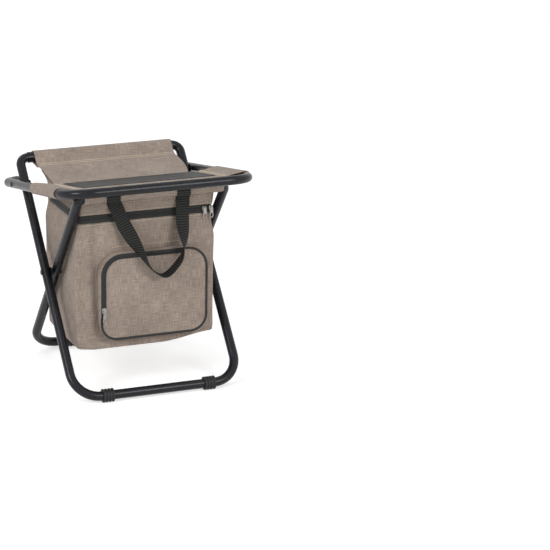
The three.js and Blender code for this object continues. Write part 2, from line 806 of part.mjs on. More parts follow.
// The origin is on the floor under the middle of the whole stool
const extent = new THREE.Box3().setFromObject(stool, true);
stool.position.y = -(extent.min.y + extent.max.y) / 2;
const part = new THREE.Group();
part.add(stool);

export default part;
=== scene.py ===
import json
import math
import bmesh
import bpy
import numpy as np
from mathutils import Matrix, Vector


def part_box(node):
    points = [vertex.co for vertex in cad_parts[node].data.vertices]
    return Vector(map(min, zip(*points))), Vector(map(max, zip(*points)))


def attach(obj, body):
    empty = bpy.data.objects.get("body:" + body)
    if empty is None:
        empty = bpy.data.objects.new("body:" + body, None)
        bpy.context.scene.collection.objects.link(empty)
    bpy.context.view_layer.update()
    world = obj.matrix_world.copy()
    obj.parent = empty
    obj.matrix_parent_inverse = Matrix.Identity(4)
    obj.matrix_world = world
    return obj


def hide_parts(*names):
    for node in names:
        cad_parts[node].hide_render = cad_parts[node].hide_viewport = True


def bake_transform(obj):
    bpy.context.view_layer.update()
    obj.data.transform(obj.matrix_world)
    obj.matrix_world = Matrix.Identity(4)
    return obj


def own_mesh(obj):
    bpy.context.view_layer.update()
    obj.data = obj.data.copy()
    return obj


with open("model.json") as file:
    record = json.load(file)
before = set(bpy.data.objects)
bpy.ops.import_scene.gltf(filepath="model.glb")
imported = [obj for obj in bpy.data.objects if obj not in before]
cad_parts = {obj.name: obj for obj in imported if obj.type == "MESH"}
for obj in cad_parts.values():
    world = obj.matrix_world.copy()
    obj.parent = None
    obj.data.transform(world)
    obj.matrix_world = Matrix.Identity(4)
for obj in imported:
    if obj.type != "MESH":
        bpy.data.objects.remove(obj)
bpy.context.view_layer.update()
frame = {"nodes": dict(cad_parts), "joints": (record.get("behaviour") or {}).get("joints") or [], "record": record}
scene = bpy.context.scene

# Camera: in front of the stool, to its left and a little above, far off with a long lens.
# The stool stands left of the picture's middle, so the camera turns to the right of it.
AZIMUTH = math.radians(-19.626)
ELEVATION = math.radians(17.483)
DISTANCE = 4.7186
AIM = Vector((0.01007, 0, 0.17119))
FOCAL_PIXELS = 2638.3
PICTURE_PIXELS = 550
MIDDLE_OFFSET_PIXELS = 142
SENSOR_MM = 36
FAR_LIMIT = 60
camera_data = bpy.data.cameras.new("camera")
camera_data.sensor_width = SENSOR_MM
camera_data.lens = FOCAL_PIXELS / PICTURE_PIXELS * SENSOR_MM
camera_data.clip_end = FAR_LIMIT
camera = bpy.data.objects.new("camera", camera_data)
scene.collection.objects.link(camera)
toward_camera = Vector((
    math.sin(AZIMUTH) * math.cos(ELEVATION),
    -math.cos(AZIMUTH) * math.cos(ELEVATION),
    math.sin(ELEVATION),
))
camera.location = AIM + DISTANCE * toward_camera
facing = (-toward_camera).to_track_quat("-Z", "Y").to_matrix().to_4x4()
turn_right = Matrix.Rotation(-math.atan2(MIDDLE_OFFSET_PIXELS, FOCAL_PIXELS), 4, "Y")
camera.rotation_euler = (facing @ turn_right).to_euler()
scene.camera = camera
scene.view_settings.view_transform = "Standard"


# Floor and light: a white studio sweep under large soft lamps.
# Only what the camera and mirrors see of the floor and the world is lifted to white.
def hex_colour(text):
    """A linear colour from sRGB hex digits."""
    srgb = np.array([int(text[i:i + 2], 16) for i in (1, 3, 5)]) / 255
    linear = np.where(srgb <= 0.04045, srgb / 12.92, ((srgb + 0.055) / 1.055) ** 2.4)
    return (*linear.tolist(), 1.0)


def add(tree, kind, settings=None, **links):
    """Adds a node, sets its settings, and sets or links each named or numbered input."""
    node = tree.nodes.new(kind)
    for key, value in (settings or {}).items():
        setattr(node, key, value)
    for key, value in links.items():
        name = key.replace("_", " ")
        socket = node.inputs[int(key[1:])] if key[1:].isdigit() else node.inputs[name]
        if isinstance(value, bpy.types.NodeSocket):
            tree.links.new(value, socket)
        else:
            socket.default_value = value
    return node


SKY_LIGHT = 0.5
SKY_SEEN = 1.0
PAPER_GLOW = 0.55
world = bpy.data.worlds.new("studio")
scene.world = world
world.use_nodes = True
tree = world.node_tree
tree.nodes.clear()
path = add(tree, "ShaderNodeLightPath")
straight = add(tree, "ShaderNodeMath", {"operation": "MAXIMUM"},
               i0=path.outputs["Is Camera Ray"], i1=path.outputs["Is Transmission Ray"])
seen = add(tree, "ShaderNodeMath", {"operation": "MAXIMUM"}, i0=straight.outputs[0],
           i1=path.outputs["Is Glossy Ray"])
strength = add(tree, "ShaderNodeMapRange", None, Value=seen.outputs[0], To_Min=SKY_LIGHT, To_Max=SKY_SEEN)
sky = add(tree, "ShaderNodeBackground", None, Color=hex_colour("#ffffff"), Strength=strength.outputs[0])
add(tree, "ShaderNodeOutputWorld", None, Surface=sky.outputs[0])

floor_material = bpy.data.materials.new("white studio paper")
floor_material.use_nodes = True
tree = floor_material.node_tree
tree.nodes.clear()
path = add(tree, "ShaderNodeLightPath")
paper = add(tree, "ShaderNodeBsdfDiffuse", None, Color=hex_colour("#e4e4e4"))
seen = add(tree, "ShaderNodeMath", {"operation": "MAXIMUM"}, i0=path.outputs["Is Camera Ray"],
           i1=path.outputs["Is Glossy Ray"])
lift = add(tree, "ShaderNodeMath", {"operation": "MULTIPLY"}, i0=seen.outputs[0], i1=PAPER_GLOW)
glow = add(tree, "ShaderNodeEmission", None, Color=hex_colour("#ffffff"), Strength=lift.outputs[0])
both = add(tree, "ShaderNodeAddShader", None, i0=paper.outputs[0], i1=glow.outputs[0])
add(tree, "ShaderNodeOutputMaterial", None, Surface=both.outputs[0])

FLOOR_HALF = 30
floor_mesh = bpy.data.meshes.new("floor")
floor_corners = [(-FLOOR_HALF, -FLOOR_HALF, 0), (FLOOR_HALF, -FLOOR_HALF, 0),
                 (FLOOR_HALF, FLOOR_HALF, 0), (-FLOOR_HALF, FLOOR_HALF, 0)]
floor_mesh.from_pydata(floor_corners, [], [(0, 1, 2, 3)])
floor_mesh.materials.append(floor_material)
floor = bpy.data.objects.new("floor", floor_mesh)
scene.collection.objects.link(floor)

LAMPS = {
    "key_lamp": ((1.3, -3.3, 1.9), 1.4, 50),
    "fill_lamp": ((-3.0, -1.5, 2.1), 1.2, 52),
    "back_lamp": ((-0.6, 2.4, 2.6), 1.8, 12),
}
for name, (place, size, power) in LAMPS.items():
    lamp_data = bpy.data.lights.new(name, "AREA")
    lamp_data.size = size
    lamp_data.energy = power
    lamp = bpy.data.objects.new(name, lamp_data)
    lamp.location = place
    lamp.rotation_euler = (AIM - Vector(place)).to_track_quat("-Z", "Y").to_euler()
    scene.collection.objects.link(lamp)


# Steel tube frames: three bent tubes of 16.5 mm steel, powder painted black.
# Each leg frame's turned-in ends plug into a wider top rail tube. The seat frame is a U that
# carries the sling on its arms.
def unit(vectors):
    """Vectors scaled to length one."""
    return vectors / np.linalg.norm(vectors, axis=-1, keepdims=True)


def surface(name, points, wrap=(False, False), uv=None, weld=1e-6, closed=True, sharp=50):
    """A mesh over a grid of points (row, column, xyz). A wrapped direction joins its last line to its
    first. UV is in metres: the mean distance run across and along, unless it is given."""
    rows, columns = points.shape[:2]
    index = np.arange(rows * columns).reshape(rows, columns)
    ringed = points
    for direction in (0, 1):
        if wrap[direction]:
            first = (slice(None, 1), slice(None)) if direction == 0 else (slice(None), slice(None, 1))
            index = np.concatenate([index, index[first]], axis=direction)
            ringed = np.concatenate([ringed, ringed[first]], axis=direction)
    if uv is None:
        across = np.linalg.norm(np.diff(ringed, axis=1), axis=2).mean(axis=0)
        along = np.linalg.norm(np.diff(ringed, axis=0), axis=2).mean(axis=1)
        u = np.concatenate([[0], np.cumsum(across)])
        v = np.concatenate([[0], np.cumsum(along)])
        uv = np.stack(np.meshgrid(u, v), axis=-1)
    quad = [(slice(None, -1), slice(None, -1)), (slice(None, -1), slice(1, None)),
            (slice(1, None), slice(1, None)), (slice(1, None), slice(None, -1))]
    quads = np.stack([index[c] for c in quad], axis=-1).reshape(-1, 4)
    loops = np.stack([uv[c] for c in quad], axis=-2).reshape(-1, 2)
    mesh = bpy.data.meshes.new(name)
    mesh.from_pydata(points.reshape(-1, 3).tolist(), [], quads.tolist())
    layer = mesh.uv_layers.new(name="weave")
    layer.data.foreach_set("uv", loops.astype(np.float32).ravel())
    return finished(name, mesh, weld, closed, sharp)


def finished(name, mesh, weld, closed, sharp):
    """Welds a mesh's doubles, turns a closed one's faces out, smooths it and puts it in the scene."""
    edit = bmesh.new()
    edit.from_mesh(mesh)
    bmesh.ops.remove_doubles(edit, verts=edit.verts, dist=weld)
    bmesh.ops.dissolve_degenerate(edit, edges=edit.edges, dist=weld)
    if closed:
        bmesh.ops.recalc_face_normals(edit, faces=edit.faces)
    edit.to_mesh(mesh)
    edit.free()
    mesh.shade_smooth()
    mesh.set_sharp_from_angle(angle=math.radians(sharp))
    piece = bpy.data.objects.new(name, mesh)
    scene.collection.objects.link(piece)
    return piece


def place(piece, material, body, slot, *nodes):
    """Gives a piece its material and body, and hides the CAD nodes that it stands for. The record slot is not
    used.
    """
    piece.data.materials.append(material)
    if body:
        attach(piece, body)
    if nodes:
        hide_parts(*nodes)
    return piece


def rounded_path(corners, steps=14):
    """A path through corners (x, along, radius) whose bends are arcs: between two tangent points the
    arc's arm from its centre swings evenly from one to the other."""
    at = np.array([corner[:2] for corner in corners], float)
    path = []
    for i, (_, _, radius) in enumerate(corners):
        if not radius:
            path.append(at[i:i + 1])
            continue
        back = unit(at[i - 1] - at[i])
        ahead = unit(at[i + 1] - at[i])
        half = math.acos(np.clip(back @ ahead, -1, 1)) / 2
        centre = at[i] + unit(back + ahead) * radius / math.sin(half)
        first = at[i] + back * radius / math.tan(half) - centre
        last = at[i] + ahead * radius / math.tan(half) - centre
        turn = math.pi - 2 * half
        share = np.linspace(0, 1, steps)[:, None]
        arms = (np.sin((1 - share) * turn) * first + np.sin(share * turn) * last) / math.sin(turn)
        path.append(centre + arms)
    return np.concatenate(path)


def sweep(path, normal, outline):
    """A section outline (side, up) carried along a path in a plane: side is the plane's normal crossed
    with the path's direction, and up is the normal."""
    tangent = unit(np.gradient(path, axis=0))
    side = unit(np.cross(normal, tangent))
    return path[:, None] + outline[None, :, :1] * side[:, None] + outline[None, :, 1:] * normal


def on_circle(angle):
    """(cosine, sine) of each angle."""
    return np.stack([np.cos(angle), np.sin(angle)], axis=-1)


def circle(radius, count):
    """Points spaced evenly round a circle."""
    return radius * on_circle(np.arange(count) * 2 * math.pi / count)


def upright(outline, y):
    """An outline (x, z) stood up at a place or places along y."""
    return np.stack(np.broadcast_arrays(outline[:, 0], y, outline[:, 1]), axis=-1)


def level(outline, z):
    """An outline (x, y) laid level at a height."""
    return np.column_stack([outline, np.full(len(outline), z)])


def capped(grid):
    """A grid closed at both ends by one more line at the middle of its first and last lines."""
    middles = grid[[0, -1]].mean(axis=1, keepdims=True).repeat(grid.shape[1], axis=1)
    return np.concatenate([middles[:1], grid, middles[1:]])


def object_noise(tree, size, detail=2.0):
    """Noise of a size in metres on the piece's own coordinates."""
    where = add(tree, "ShaderNodeTexCoord")
    return add(tree, "ShaderNodeTexNoise", None, Vector=where.outputs["Object"],
               Scale=1 / size, Detail=detail)


def shaded(name, base, roughness, settings=None, height=None, bump_distance=0.0003, bump_strength=1.0):
    """A Principled material whose colour, roughness and height are each a value or a socket maker."""
    material = bpy.data.materials.new(name)
    material.use_nodes = True
    tree = material.node_tree
    tree.nodes.clear()
    shader = add(tree, "ShaderNodeBsdfPrincipled")
    for key, value in {"Base Color": base, "Roughness": roughness, **(settings or {})}.items():
        if callable(value):
            tree.links.new(value(tree), shader.inputs[key])
        else:
            shader.inputs[key].default_value = value
    if height:
        bump = add(tree, "ShaderNodeBump", None, Height=height(tree), Distance=bump_distance,
                   Strength=bump_strength)
        tree.links.new(bump.outputs[0], shader.inputs["Normal"])
    add(tree, "ShaderNodeOutputMaterial", None, Surface=shader.outputs[0])
    return material


def ramp(tree, factor, low, high, start, end):
    """A colour that runs from one hex colour to another as a factor runs from start to end."""
    where = add(tree, "ShaderNodeMapRange", None, Value=factor, From_Min=start, From_Max=end)
    mix = add(tree, "ShaderNodeMix", {"data_type": "RGBA"})
    tree.links.new(where.outputs[0], mix.inputs["Factor"])
    mix.inputs[6].default_value = hex_colour(low)
    mix.inputs[7].default_value = hex_colour(high)
    return mix.outputs[2]


def between(tree, factor, low, high, start, end):
    """A number that runs from low to high as a factor runs from start to end."""
    return add(tree, "ShaderNodeMapRange", None, Value=factor, From_Min=start, From_Max=end,
               To_Min=low, To_Max=high).outputs[0]


def mottled(size, low, high, start=0.3, end=0.7, detail=2.0):
    """A socket maker: a colour that wanders between two hex colours over patches of a size."""
    return lambda tree: ramp(tree, object_noise(tree, size, detail).outputs[0], low, high, start, end)


def uneven(size, low, high):
    """A socket maker: a number that wanders between low and high over patches of a size."""
    return lambda tree: between(tree, object_noise(tree, size).outputs[0], low, high, 0.3, 0.7)


def grain(size, detail=2.0):
    """A socket maker: the height of a fine grain of a size."""
    return lambda tree: object_noise(tree, size, detail).outputs[0]


# Powder paint, sprayed and baked: black and fairly glossy, with a faint orange peel a millimetre or
# two across and slightly duller patches where it has been handled.
PEEL = 0.0016
HANDLING = 0.03
black_paint = shaded(
    "glossy black powder paint",
    mottled(HANDLING, "#131419", "#1b1c22", 0.35, 0.65),
    uneven(HANDLING, 0.22, 0.30),
    {"Specular IOR Level": 0.26},
    grain(PEEL), 0.00005, 0.5,
)

TUBE = 0.00825
TUBE_SIDES = 32
OUTER_HALF = 0.15225
INNER_HALF = 0.13415
SEAT_HALF = 0.17035
OUTER_LEAN = math.radians(41.5)
INNER_LEAN = math.radians(38)
OUTER_BELOW, OUTER_ABOVE = 0.244, 0.226
INNER_ABOVE = 0.213
RAIL_HEIGHT = 0.01125
OUTER_BENDS = (0.0475, 0.015)
INNER_BENDS = (0.048, 0.014)
TUBE_IN_RAIL = 0.012
X = np.array([1.0, 0, 0])
pivots = {joint["name"]: np.array(joint["pos_m"]) for joint in frame["joints"] if "pos_m" in joint}
CROSS = pivots["leg_fold"]
SEAT_PIVOT = pivots["seat_fold"]
INNER_BELOW = (CROSS[2] - RAIL_HEIGHT) / math.cos(INNER_LEAN)
outer_up = np.array([0, math.sin(OUTER_LEAN), math.cos(OUTER_LEAN)])
inner_up = np.array([0, -math.sin(INNER_LEAN), math.cos(INNER_LEAN)])
REAR_RAIL = CROSS + OUTER_ABOVE * outer_up
FRONT_RAIL = CROSS + INNER_ABOVE * inner_up


def leg_frame(name, half, below, above, up, bends):
    """A bent tube: legs along up through the crossing, floor rail below, ends turned in above."""
    floor_bend, top_bend = bends
    end = half - top_bend - TUBE_IN_RAIL
    flat = rounded_path([
        (-end, above, 0), (-half, above, top_bend), (-half, -below, floor_bend),
        (half, -below, floor_bend), (half, above, top_bend), (end, above, 0),
    ])
    path = CROSS + flat[:, :1] * X + flat[:, 1:] * up
    return surface(name, capped(sweep(path, np.cross(up, X), circle(TUBE, TUBE_SIDES))), (False, True))


def turned(name, profile, origin, axis, sides=40, ring=False):
    """A turned piece: its profile (along, radius) goes round an axis from an origin. A ring's profile
    closes on itself."""
    profile = np.array(profile, float)
    axis = unit(np.array(axis, float))
    first = unit(np.cross(axis, [0.31, 0.22, 0.93]))
    second = np.cross(axis, first)
    spin = circle(1, sides)
    radial = spin[:, :1] * first + spin[:, 1:] * second
    points = origin + profile[:, None, :1] * axis + profile[:, None, 1:] * radial[None]
    return surface(name, points, (ring, True), sharp=35)


outer_tube = leg_frame("outer_tube", OUTER_HALF, OUTER_BELOW, OUTER_ABOVE, outer_up, OUTER_BENDS)
place(outer_tube, black_paint, "outer_legs", "black_tube", "outer_leg_frame")
inner_tube = leg_frame("inner_tube", INNER_HALF, INNER_BELOW, INNER_ABOVE, inner_up, INNER_BENDS)
place(inner_tube, black_paint, "inner_legs", "black_tube", "inner_leg_frame")

RAIL = 0.0098
RAIL_BORE = 0.00855
RAIL_EDGE = 0.0004
for name, middle, end, body, node in [
    ("rear_rail_tube", REAR_RAIL, OUTER_HALF - OUTER_BENDS[1], "outer_legs", "rear_top_rail"),
    ("front_rail_tube", FRONT_RAIL, INNER_HALF - INNER_BENDS[1], "inner_legs", "front_top_rail"),
]:
    rail_profile = [(-end, RAIL_BORE), (-end, RAIL - RAIL_EDGE), (RAIL_EDGE - end, RAIL),
                    (end - RAIL_EDGE, RAIL), (end, RAIL - RAIL_EDGE), (end, RAIL_BORE)]
    place(turned(name, rail_profile, middle, X, ring=True), black_paint, body, "black_tube", node)


# Seat frame: a U of the same tube, whose rear ends turn in. Its arms run forward and up from the
# rivets; X runs across it and "forward" along it.
SEAT_REACH = 0.305
SEAT_TAIL = 0.046
TAIL_TURN = math.radians(45)
TAIL_STUB = 0.032
TAIL_BEND = 0.016
SEAT_BEND = 0.05
seat_top = next(m for m in frame["record"]["mounts"] if m["name"] == "seat_top")
seat_normal = unit(np.array(seat_top["axis"]))
seat_forward = np.cross(X, seat_normal)
seat_forward *= -np.sign(seat_forward[1])


def seat_points(across, forward, lift):
    """Points in the seat frame's plane: across it, forward of the rivets, and lifted off the plane."""
    across, forward, lift = np.broadcast_arrays(across, forward, lift)
    return (SEAT_PIVOT + across[..., None] * X + forward[..., None] * seat_forward
            + lift[..., None] * seat_normal)


stub_in = TAIL_STUB * math.sin(TAIL_TURN)
stub_back = TAIL_STUB * math.cos(TAIL_TURN)
seat_flat = rounded_path([
    (-SEAT_HALF + stub_in, -SEAT_TAIL - stub_back, 0), (-SEAT_HALF, -SEAT_TAIL, TAIL_BEND),
    (-SEAT_HALF, SEAT_REACH, SEAT_BEND), (SEAT_HALF, SEAT_REACH, SEAT_BEND),
    (SEAT_HALF, -SEAT_TAIL, TAIL_BEND), (SEAT_HALF - stub_in, -SEAT_TAIL - stub_back, 0),
])
seat_path = seat_points(seat_flat[:, 0], seat_flat[:, 1], 0.0)
seat_sections = sweep(seat_path, seat_normal, circle(TUBE, TUBE_SIDES))
seat_tube = surface("seat_tube", capped(seat_sections), (False, True))
place(seat_tube, black_paint, "seat", "black_tube", "seat_frame")


# End plugs: black polyethylene caps pressed into the seat tube's open rear ends.
# Moulded, so they are matt with a soft edge round the cap.
black_plastic = shaded(
    "black moulded polyethylene",
    mottled(0.004, "#121314", "#1b1c1d"),
    0.62,
    None,
    grain(0.0008), 0.00005, 0.4,
)
PLUG_BORE = 0.0067
for word, sign in (("left", -1), ("right", 1)):
    axis = -sign * math.sin(TAIL_TURN) * X - math.cos(TAIL_TURN) * seat_forward
    end = seat_points(sign * (SEAT_HALF - stub_in), -SEAT_TAIL - stub_back, 0.0)
    plug_profile = [(-0.012, 0), (-0.012, PLUG_BORE), (0.0003, PLUG_BORE), (0.0003, TUBE),
                    (0.0014, TUBE), (0.0024, TUBE - 0.0007), (0.0030, TUBE - 0.0022), (0.0033, 0)]
    plug = turned(f"end_plug_{word}", plug_profile, end, axis)
    place(plug, black_plastic, "seat", "black_plastic", f"seat_plug_{word}")


# Rivets and washers: steel rivets with domed heads join the frames where they cross, with a nylon
# washer between the tubes. The heads are painted with the frames, and glossier where they were formed.
rivet_paint = shaded(
    "gloss black rivet paint",
    mottled(0.003, "#1c1d20", "#2a2b2e"),
    0.24,
    {"Metallic": 0.3},
    grain(0.0012), 0.00004, 0.5,
)
RIVET = 0.003
HEAD = 0.0052
HEAD_HEIGHT = 0.0018
TUBE_STEP = 0.0181
HEAD_GAP = 0.0003
head_angle = np.linspace(0, math.pi / 2, 8)
dome = np.stack([np.sin(head_angle) * HEAD_HEIGHT, np.cos(head_angle) * HEAD], axis=-1)
for group, pivot, outer_tube_x in [("leg", CROSS, OUTER_HALF), ("seat", SEAT_PIVOT, SEAT_HALF)]:
    outer_face = outer_tube_x + TUBE + HEAD_GAP
    inner_face = outer_tube_x - TUBE_STEP - TUBE - HEAD_GAP
    rivet_profile = np.concatenate([
        (dome * [-1, 1] + [inner_face, 0])[::-1],
        [(inner_face, RIVET), (outer_face, RIVET)],
        dome + [outer_face, 0],
    ])
    for word, sign in (("left", -1), ("right", 1)):
        rivet = turned(f"{group}_rivet_head_{word}", rivet_profile, pivot, sign * X)
        place(rivet, rivet_paint, "outer_legs", "rivet", f"{group}_rivet_{word}")
        frame["nodes"][f"{group}_washer_{word}"].material_slots[0].material = black_plastic


# Feet: ribbed polyethylene sleeves pushed over the floor rails, which stand flat on the floor.
# Each has four round-edged ribs with grooves between them.
FOOT = 0.012
FOOT_GROOVE = 0.0014
FOOT_HALF = 0.01
FOOT_RIBS = 4
FOOT_BORE = 0.00855


def corners(node):
    """The low and high corners of a CAD node's box."""
    return [np.array(corner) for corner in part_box(node)]


def foot_profile():
    """Radius along the sleeve: ribs and grooves alternate, each rib's edges rounded by an S curve."""
    along = np.linspace(-FOOT_HALF, FOOT_HALF, 113)
    phase = (along + FOOT_HALF) / (2 * FOOT_HALF) * (2 * FOOT_RIBS - 1)
    inside = np.abs(phase % 2 - 0.5)
    rib = np.clip((0.62 - inside) / 0.24, 0, 1)
    radius = FOOT - FOOT_GROOVE * (1 - rib * rib * (3 - 2 * rib))
    bore = [(FOOT_HALF, FOOT_BORE), (-FOOT_HALF, FOOT_BORE)]
    return np.concatenate([np.stack([along, radius], axis=-1), bore])


for word, sign in (("left", -1), ("right", 1)):
    for group, body in (("outer", "outer_legs"), ("inner", "inner_legs")):
        node = f"{group}_foot_{word}"
        low, high = corners(node)
        middle = (low + high) / 2
        middle[2] = RAIL_HEIGHT
        foot = turned(f"{group}_rail_foot_{word}", foot_profile(), middle, X, sides=48, ring=True)
        heights = np.empty(len(foot.data.vertices) * 3)
        foot.data.vertices.foreach_get("co", heights)
        heights[2::3] = np.maximum(heights[2::3], 0)
        foot.data.vertices.foreach_set("co", heights)
        place(foot, black_plastic, body, "black_plastic", node)


# Melange cloth: a plain weave of mixed dark and pale beige yarns, matt, with a polyester coating
# inside. Threads lie about half a millimetre apart; they are drawn 0.8 mm wide so that they show.
THREAD = 0.0008
SLUB_LENGTH = 0.019
PATCH = 0.05


def yarns(tree, direction):
    """Noise drawn out along one direction of the weave, one thread wide: the colour of each yarn."""
    where = add(tree, "ShaderNodeUVMap", {"uv_map": "weave"})
    scale = [1 / THREAD, 1 / SLUB_LENGTH, 1] if direction else [1 / SLUB_LENGTH, 1 / THREAD, 1]
    stretched = add(tree, "ShaderNodeMapping", None, Vector=where.outputs[0], Scale=scale)
    return add(tree, "ShaderNodeTexNoise", None, Vector=stretched.outputs[0], Scale=1.0,
               Detail=2.0).outputs[0]


def weave_waves(tree, size):
    """Rows and columns of threads as two crossed sine waves."""
    where = add(tree, "ShaderNodeUVMap", {"uv_map": "weave"})
    waves = [
        add(tree, "ShaderNodeTexWave", {"bands_direction": side}, Vector=where.outputs[0],
            Scale=math.pi / (10 * size), Distortion=0.6).outputs["Fac"]
        for side in ("X", "Y")
    ]
    return add(tree, "ShaderNodeMath", {"operation": "ADD"}, i0=waves[0], i1=waves[1]).outputs[0]


def melange(tree, dark, middle, pale):
    """Warp and weft yarn colours averaged, with faint wider patches where the yarns bunch."""
    both = add(tree, "ShaderNodeMath", {"operation": "ADD"}, i0=yarns(tree, 0), i1=yarns(tree, 1))
    patches = object_noise(tree, PATCH, 3.0).outputs[0]
    spread = add(tree, "ShaderNodeMath", {"operation": "MULTIPLY_ADD"}, i0=patches, i1=0.35,
                 i2=both.outputs[0])
    lower = ramp(tree, spread.outputs[0], dark, middle, 0.92, 1.17)
    upper = add(tree, "ShaderNodeMix", {"data_type": "RGBA"})
    tree.links.new(between(tree, spread.outputs[0], 0.0, 1.0, 1.17, 1.42), upper.inputs["Factor"])
    tree.links.new(lower, upper.inputs[6])
    upper.inputs[7].default_value = hex_colour(pale)
    return upper.outputs[2]


cloth = shaded(
    "beige melange polyester weave",
    lambda t: melange(t, "#82766d", "#9b8b80", "#b5a799"),
    0.88,
    {"Specular IOR Level": 0.25, "Sheen Weight": 0.12, "Sheen Roughness": 0.5},
    lambda t: weave_waves(t, 2 * THREAD), 0.00025, 0.6,
)
thread = shaded(
    "cream polyester sewing thread",
    mottled(0.0008, "#cfbfa6", "#e6dac2"),
    0.7,
    {"Sheen Weight": 0.2},
)


def ripple(*terms):
    """Soft folds: a sum of sines, each given as (height, phase)."""
    return sum(height * np.sin(phase) for height, phase in terms)


def smooth(value, start, end):
    """Zero before start, one after end, and an S-shaped rise between."""
    share = np.clip((value - start) / (end - start), 0, 1)
    return share * share * (3 - 2 * share)


def run_length(path):
    """How far each point of a path lies along it."""
    return np.concatenate([[0], np.cumsum(np.linalg.norm(np.diff(path, axis=0), axis=1))])


def at_run(marks, run, values):
    """A path's points, or values given for them, at some distances along it."""
    return np.stack([np.interp(marks, run, column) for column in values.T], axis=-1)


def spindles(name, centre, along, side, up, length, shares, ring):
    """Small bars in one mesh: at each centre a ring of points (side, up) stands at four shares of the
    bar's length, and is drawn in to a point at both ends."""
    waist = np.array([0.0, 1.0, 1.0, 0.0])
    points = (centre[:, None, None]
              + np.array(shares)[None, :, None, None] * length * along[:, None, None]
              + waist[None, :, None, None] * (ring[None, None, :, :1] * side[:, None, None]
                                              + ring[None, None, :, 1:] * up[:, None, None]))
    size = len(ring)
    first = (np.arange(len(centre))[:, None, None, None] * 4 + np.arange(3)[None, :, None, None]) * size
    column = np.arange(size)[None, None, :, None]
    beside = (column + 1) % size
    quads = np.concatenate([first + column, first + beside, first + size + beside, first + size + column],
                           axis=-1).reshape(-1, 4)
    mesh = bpy.data.meshes.new(name)
    mesh.from_pydata(points.reshape(-1, 3).tolist(), [], quads.tolist())
    mesh.uv_layers.new(name="weave")
    return finished(name, mesh, 1e-7, True, 80)


STITCH_PITCH = 0.0046
STITCH_LENGTH = 0.0035
STITCH_WIDTH = 0.0013
SEAM_LIFT = 0.0002


def stitches(name, path, outward, body, slot="melange_cloth", material=thread):
    """A row of stitches: one small spindle every pitch along a path, laid on the cloth's face."""
    run = run_length(path)
    count = max(int(run[-1] / STITCH_PITCH), 1)
    marks = (np.arange(count) + 0.5) * run[-1] / count
    half = STITCH_LENGTH / 2
    tangent = unit(at_run(marks + half, run, path) - at_run(marks - half, run, path))
    normal = at_run(marks, run, np.broadcast_to(outward, path.shape))
    normal = unit(normal - (normal * tangent).sum(axis=1, keepdims=True) * tangent)
    row = spindles(name, at_run(marks, run, path), tangent, np.cross(tangent, normal), normal,
                   STITCH_LENGTH, [-0.5, -0.3, 0.3, 0.5], circle(STITCH_WIDTH / 2, 6))
    return place(row, material, body, slot)


def thicken(piece, thickness, offset=0.0):
    """Gives a sheet its thickness, measured from its drawn face: offset 0 grows it both ways."""
    solid = piece.modifiers.new("thickness", "SOLIDIFY")
    solid.thickness = thickness
    solid.offset = offset
    solid.use_even_offset = False
    return piece


# Seat sling: one taut sheet of melange cloth, wrapped round both arms of the seat frame and sewn
# back on itself, with folded hems along its front and rear edges.
CLOTH = 0.0014
SLEEVE_GAP = 0.00035
SLEEVE = TUBE + SLEEVE_GAP + CLOTH / 2
SLING_RISE = 0.003
SLING_SAG = 0.0011
SLING_RIPPLE = 0.00025
SLING_NARROWING = 0.004
HEM_HEIGHT = 0.0003
HEM_INNER, HEM_OUTER = 0.0105, 0.009
SLING_START = 0.117
SLING_END = 0.254
SLING_SEAM = SEAT_HALF + TUBE - 0.046


def touch(toward, radius, side):
    """The angle at which a line from a tip touches a circle: toward is the tip, seen from the centre."""
    return math.atan2(toward[1], toward[0]) + side * math.acos(radius / math.hypot(*toward))


def sling_profile():
    """(across, lift) from the seam under the left arm, round the arm, over the seat and round the
    right arm: a circle's arc between tangent points, and straight lines to the seams."""
    tip_top = np.array([SEAT_HALF - SLING_SEAM, SLING_RISE])
    tip_low = tip_top - [0, 1.2 * CLOTH]
    top_touch = touch(tip_top, SLEEVE, 1)
    low_touch = touch(tip_low, SLEEVE, -1) + 2 * math.pi
    arc = np.linspace(low_touch, top_touch, 26)
    around = SLEEVE * on_circle(arc)
    under = np.linspace(tip_low, around[0], 6, endpoint=False)
    over = np.linspace(around[-1], tip_top, 9)[1:]
    left = np.concatenate([under, around, over]) + [-SEAT_HALF, 0]
    flat = np.linspace(left[-1], left[-1] * [-1, 1], 61)[1:-1]
    return np.concatenate([left, flat, (left * [-1, 1])[::-1]])


sling_line = sling_profile()
sling_rows = np.linspace(SLING_START, SLING_END, 45)
row, line_x = np.meshgrid(sling_rows, sling_line[:, 0], indexing="ij")
line_z = np.broadcast_to(sling_line[:, 1], row.shape)
on_top = smooth(np.arange(len(sling_line)), 26, 40) * smooth(np.arange(len(sling_line))[::-1], 26, 40)
middle = np.sin(np.clip((row - SLING_START) / (SLING_END - SLING_START), 0, 1) * math.pi)
edge_pull = 1 - smooth(np.abs(line_x), 0.02, 0.125)
sag = -SLING_SAG * middle * edge_pull + SLING_RIPPLE * ripple(
    (1, line_x * 95 + row * 30), (0.8, row * 160 + line_x * 22), (0.6, line_x * 210 - row * 70))
hem = HEM_HEIGHT * (1 - smooth(row - SLING_START, HEM_OUTER, HEM_INNER)
                    * smooth(SLING_END - row, HEM_OUTER, HEM_INNER))
narrow = 1 - SLING_NARROWING * middle * on_top
sling_points = seat_points(line_x * narrow, row, line_z + on_top * (sag + hem))
sling = surface("sling_cloth", sling_points, closed=False)
place(thicken(sling, CLOTH), cloth, "seat", "melange_cloth", "seat_sling")
lift = SLING_RISE + CLOTH / 2
STITCH_LIFT = 0.0003
HEM_STITCH = 0.0085
SEAM_GAP = 0.0045
SEAM_CLIMB = 0.0009
SEAM_STOP = 0.002
HEM_STOP = 0.004
